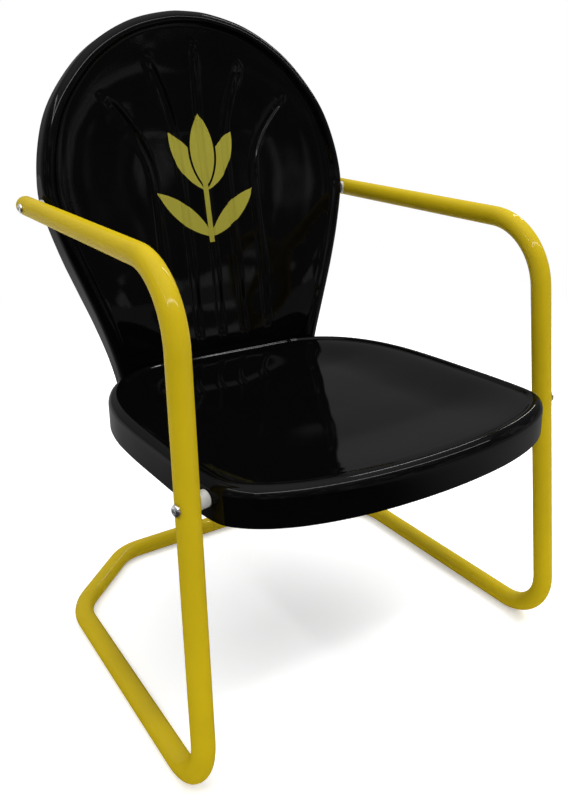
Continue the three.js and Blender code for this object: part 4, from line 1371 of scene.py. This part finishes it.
# Rings of the collar: how far before the nut's end each lies, and how far inside the flats
NUT_COLLAR = ((1.2, 0.15), (0.5, 0.4), (0.0, 1.0))
SADDLE_GAP = 0.05
SADDLE_CHAMFER = 0.5
SPACER_CHAMFER = 0.6


def nut_pattern(start, across=10.0, height=6.0):
    """A nut whose far end carries the round collar that locks it."""
    end = start + height
    rings = [(end, HOLE_DIAMETER / 2), (start, HOLE_DIAMETER / 2), (start, across / 2 - NUT_FOOT_INSET)]
    rings += [(x, across / 2, "hexagon") for x in (start + NUT_FOOT, end - NUT_COLLAR_HEIGHT)]
    rings += [(end - before, across / 2 - inside) for before, inside in NUT_COLLAR]
    return ringed_mesh("nut_pattern", rings, closed=True)


def spacer_pattern(end, across, on_arm):
    """A spacer sits on the tube. An arm's tube lies level, so its spacer is turned a quarter."""
    saddle = TUBE_RADIUS + SADDLE_GAP
    rings = [(end, HOLE_DIAMETER / 2), (0, HOLE_DIAMETER / 2, "round", saddle)]
    rings += [(0, across / 2 - SADDLE_CHAMFER, "round", saddle)]
    rings += [(0, across / 2, "round", saddle + SADDLE_CHAMFER)]
    rings += [(end - SPACER_CHAMFER, across / 2), (end, across / 2 - SPACER_CHAMFER)]
    pattern = ringed_mesh("spacer_pattern", rings, closed=True)
    if on_arm:
        pattern.data.transform(Matrix.Rotation(math.pi / 2, 4, "X"))
    return pattern


# %% [markdown]
# Where each piece starts along its bolt is read from the solids, so that the dressed pieces sit exactly
# where the solids do.


# %% How far along its bolt each piece lies
def along_bolt(node, spot, swing=0.0):
    """The start and end of a left-hand solid along its bolt's line, in millimetres from the bolt's zero."""
    way = np.array([math.cos(swing), math.sin(swing), 0])
    corners = np.array([v.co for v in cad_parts[node].data.vertices])
    distances = (corners - metres(spot)) @ way * 1000
    return float(distances.min()), float(distances.max())


left_arm, left_leg = arm_places[0][0], leg_places[0][0]
spans = {}
for limb, spot, swing in (("arm", left_arm, 0.0), ("leg", left_leg, LEG_SWING)):
    for kind in ("bolt", "spacer", "washer", "nut"):
        spans[f"{limb}_{kind}"] = along_bolt(f"{limb}_{kind}_left", spot, swing)
for name, (start, end) in spans.items():
    print(f"{name}: {start:.2f} to {end:.2f} mm along its bolt")

# %% Fasteners at the arms and legs
SPACER_DIAMETERS = {"arm": 19, "leg": 18.5}
fasteners = {}
for limb, places in (("arm", arm_places), ("leg", leg_places)):
    head_seat = spans[f"{limb}_bolt"][0] + HEAD_HEIGHT
    across = SPACER_DIAMETERS[limb]
    patterns = {
        "bolts": (bolt_pattern(head_seat, spans[f"{limb}_bolt"][1]), zinc_steel),
        "spacers": (spacer_pattern(spans[f"{limb}_spacer"][1], across, limb == "arm"), white_nylon),
        "washers": (washer_pattern(spans[f"{limb}_washer"][0]), zinc_steel),
        "nuts": (nut_pattern(spans[f"{limb}_nut"][0]), zinc_steel),
    }
    for kind, (pattern, finish) in patterns.items():
        fasteners[f"{limb}_{kind}"] = spread(f"{limb}_{kind}", pattern, places, finish)

# %% Fasteners of the lap and the crossbar
LAP_BOLT_PAST_NUT = 7.5
SCREW_REACH = 7.6
lap_start = lap_head - (SEAT_REAR - SHEET_THICKNESS - CLEARANCE)
lap_nut = lap_start + WASHER_THICKNESS + CLEARANCE
lap_bolt = bolt_pattern(0, lap_nut + LAP_BOLT_PAST_NUT)
fasteners["lap_bolts"] = spread("lap_bolts", lap_bolt, lap_places, zinc_steel)
fasteners["lap_washers"] = spread("lap_washers", washer_pattern(lap_start), lap_places, zinc_steel)
fasteners["lap_nuts"] = spread("lap_nuts", nut_pattern(lap_nut), lap_places, zinc_steel)
screw = bolt_pattern(0, SCREW_REACH, head=9, head_height=2.6, socket=3.0, shank=4.8)
fasteners["crossbar_screws"] = spread("crossbar_screws", screw, screw_places, zinc_steel)

# %% [markdown]
# ## Joining the pieces to the bodies
#
# The solids move as two bodies. The base lies on the floor, and the sprung seat, back and arms rock on
# it. Each piece rides on its body and stands in for the solids that it replaces. The tubes are special:
# on the real chair each one is unbroken and bends a little just above the floor, which is the spring. Here
# each tube is fixed where it stands and rides on neither body.

# %% Tubes in place, and bodies of caps and shells
for name, tube in frame_tubes.items():
    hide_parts(f"base_tube_{name}", f"arm_tube_{name}")
    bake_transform(tube)
for name, cap in arm_caps.items():
    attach(cap, "sprung_seat")
    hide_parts(f"arm_cap_{name}")
for shell, node in ((back, "back_shell"), (seat, "seat_shell")):
    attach(shell, "sprung_seat")
    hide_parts(node)

# %% Bodies of the fasteners
for name, piece in fasteners.items():
    limb, kind = name.split("_")
    solid = ("sleeve" if limb == "crossbar" else limb) + "_" + kind.removesuffix("s")
    ends = [1, 2, 3, 4] if limb == "lap" else list(SIDES)
    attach(piece, "base" if limb == "crossbar" else "sprung_seat")
    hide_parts(*[f"{solid}_{end}" for end in ends])
print(len(fasteners), "kinds of fastener")

# %% [markdown]
# ## What stays as it is
#
# The sleeve inside the crossbar is hidden in the tube and its solid is right as it is. It keeps its mesh
# and gets the zinc finish.

# %% The sleeve's finish
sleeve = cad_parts["crossbar_sleeve"]
sleeve.data.materials.clear()
sleeve.data.materials.append(zinc_steel)
print(sleeve.name, "keeps its mesh of", len(sleeve.data.polygons), "faces")

# %% [markdown]
# ## The room round the chair
#
# The photograph's background is plain white, but the enamel still mirrors the room that the chair stood
# in. So the world has two faces. The camera sees white. Light and reflections come from a plain room:
# dim in front, where the photographer stood, lighter behind and bright at the ceiling. Pale things stand
# about in front, and they make the soft blotches on the black back. Towards the rear, a reflection also
# takes in some of the white background, less of it close to the floor.
#
# A picture of a real room could be wrapped round the scene instead, but a few smooth ranges and a noise
# do the same with nothing to load.

# %% World
ROOM_FRONT = 0.15
ROOM_BACK = 0.38
ROOM_TOP = 1.6
ROOM_THINGS = 1.15
MIRRORED_WHITE = 0.3
MIRRORED_WHITE_LOW_SHARE = 0.35
# Where each change starts and ends, along the direction's Y or Z
FRONT_TO_BACK = (-0.4, 0.7)
UP_TO_CEILING = (0.5, 1.0)
THINGS_ONLY_IN_FRONT = (0.1, -0.2)
WHITE_TO_REAR = (0.1, 0.6)
WHITE_FROM_LOW = (0.05, 0.3)
# The noise's values between which a thing's edge lies
THINGS_EDGE = (0.52, 0.66)
world = bpy.data.worlds.new("studio")
bpy.context.scene.world = world
world.use_nodes = True
tree = world.node_tree
rays = add_node(tree, "ShaderNodeLightPath").outputs
direction = add_node(tree, "ShaderNodeTexCoord").outputs["Generated"]
parts = split(tree, direction)
walls = smooth_range(tree, parts["Y"], *FRONT_TO_BACK, ROOM_FRONT, ROOM_BACK)
ceiling = smooth_range(tree, parts["Z"], *UP_TO_CEILING, 0.0, ROOM_TOP)
blotches = noise(tree, direction, 8.0, Detail=2.0, Distortion=1.2)
things = smooth_range(tree, blotches, *THINGS_EDGE, 0.0, ROOM_THINGS)
things = maths(tree, "MULTIPLY", things, smooth_range(tree, parts["Y"], *THINGS_ONLY_IN_FRONT))
room = maths(tree, "MAXIMUM", maths(tree, "MAXIMUM", walls, ceiling), things)
print("the room:", len(tree.nodes), "nodes")

# %% White background of the world
white_behind = smooth_range(tree, parts["Y"], *WHITE_TO_REAR, 0.0, MIRRORED_WHITE)
low_share = smooth_range(tree, parts["Z"], *WHITE_FROM_LOW, MIRRORED_WHITE_LOW_SHARE, 1.0)
white_behind = maths(tree, "MULTIPLY", white_behind, low_share)
mirrored = maths(tree, "MULTIPLY", rays["Is Glossy Ray"], white_behind)
seen = maths(tree, "MAXIMUM", rays["Is Camera Ray"], rays["Is Transmission Ray"])
seen = maths(tree, "MAXIMUM", seen, mirrored)
white = maths(tree, "ADD", maths(tree, "MULTIPLY", seen, maths(tree, "SUBTRACT", 1.0, room)), room)
background = tree.nodes["Background"]
tree.links.new(white, background.inputs["Strength"])
background.inputs["Color"].default_value = (1, 1, 1, 1)
print("world:", len(tree.nodes), "nodes")

# %% [markdown]
# ## The floor
#
# The floor is a pale, matt sheet that takes the chair's shadow. It glows a little near the chair, and
# further out it fades into pure white, so that no edge shows. In reflections it is dark in front and
# light behind and to the right, because the photograph's black skirt shows hardly anything of a floor in
# front of it, while the white ground behind shows in the seat.

# %% Floor
FLOOR_REACH = 30
FLOOR_GLOW = 0.38
FRONT_IN_MIRROR = 0.02
BACK_IN_MIRROR = 0.9
RIGHT_IN_MIRROR = 0.45
# Places in metres where each change starts and ends
BEHIND_CHAIR = (-0.1, 1.4)
RIGHT_OF_CHAIR = (0.1, 0.8)
FADE_TO_WHITE = (1.0, 2.2)
PALE = (0.93, 0.93, 0.93, 1)
LESS_PALE = (0.90, 0.90, 0.90, 1)
BLACK = (0.0, 0.0, 0.0, 1)
floor_corners = [(x * FLOOR_REACH, y * FLOOR_REACH, 0) for x, y in ((-1, -1), (1, -1), (1, 1), (-1, 1))]
floor = new_object("floor", floor_corners, faces=[(0, 1, 2, 3)])
floor_paint, tree, shader = new_material("pale floor")
place = object_place(tree)
rays = add_node(tree, "ShaderNodeLightPath").outputs
parts = split(tree, place)
behind = smooth_range(tree, parts["Y"], *BEHIND_CHAIR, FRONT_IN_MIRROR, BACK_IN_MIRROR)
to_right = smooth_range(tree, parts["X"], *RIGHT_OF_CHAIR, 0.0, RIGHT_IN_MIRROR)
in_mirror = maths(tree, "MAXIMUM", behind, to_right)
mottle = noise(tree, place, 3.0, Detail=3.0)
pale = mixed(tree, mottle, PALE, LESS_PALE)
dim = mixed(tree, in_mirror, BLACK, pale)
tree.links.new(mixed(tree, rays["Is Glossy Ray"], pale, dim), shader.inputs["Base Color"])
shader.inputs["Roughness"].default_value = 0.9
shader.inputs["Specular IOR Level"].default_value = 0.0
print("the floor is", 2 * FLOOR_REACH, "m wide")

# %% The floor's glow and its fade to white
WHITE = (1, 1, 1, 1)
seen = maths(tree, "MAXIMUM", rays["Is Camera Ray"], rays["Is Transmission Ray"])
seen = maths(tree, "MAXIMUM", seen, maths(tree, "MULTIPLY", rays["Is Glossy Ray"], in_mirror))
glow = maths(tree, "MULTIPLY", seen, FLOOR_GLOW)
near = add_node(tree, "ShaderNodeEmission", {"Color": WHITE, "Strength": glow}).outputs[0]
far = add_node(tree, "ShaderNodeEmission", {"Color": WHITE, "Strength": seen}).outputs[0]
lit = add_node(tree, "ShaderNodeAddShader", {0: shader.outputs[0], 1: near}).outputs[0]
distance = add_node(tree, "ShaderNodeVectorMath", {0: place}, operation="LENGTH").outputs["Value"]
fade = smooth_range(tree, distance, *FADE_TO_WHITE)
both = add_node(tree, "ShaderNodeMixShader", {0: fade, 1: lit, 2: far}).outputs[0]
tree.links.new(both, tree.nodes["Material Output"].inputs["Surface"])
floor.data.materials.append(floor_paint)
print("pale floor:", len(tree.nodes), "nodes")

# %% [markdown]
# ## The lamps
#
# The thin bright lines along the rims and on the bends of the arms are mirror images of rows of ceiling
# tubes. So the lamps are long and narrow: one row across the front, one down the left and one behind at
# the right. Square lamps of the same strength would light the chair as well, but they would show in the
# enamel as blotches and not as lines.


# %% Lamps
def area_lamp(name, spot, aim, size, watts, turn):
    """A lamp shining from spot to aim, turned by `turn` degrees about its own beam."""
    data = bpy.data.lights.new(name, "AREA")
    data.shape = "RECTANGLE"
    data.size, data.size_y = size
    data.energy = watts
    lamp = bpy.data.objects.new(name, data)
    lamp.location = spot
    beam = (Vector(aim) - Vector(spot)).to_track_quat("-Z", "Y")
    lamp.rotation_euler = (beam @ Quaternion((0, 0, 1), math.radians(turn))).to_euler()
    bpy.context.scene.collection.objects.link(lamp)


# Where each lamp hangs, where it aims, its length and width, its watts and its turn
LAMPS = {
    "front_row": ((0.7, -1.65, 2.65), (0.7, 0, 0.5), (5.4, 0.18), 48, 0),
    "left_row": ((-1.86, -0.5, 2.65), (-1.86, -0.5, 0), (2.2, 0.15), 13, 90),
    "side_row": ((3.0, 1.1, 2.4), (3.0, 1.1, 0), (4.5, 0.1), 45, 22),
}
for name, values in LAMPS.items():
    area_lamp(name, *values)
print(len(LAMPS), "lamps")

# %% [markdown]
# ## Last steps
#
# Standard view keeps colours as they were written.

# %% View
bpy.context.scene.view_settings.view_transform = "Standard"
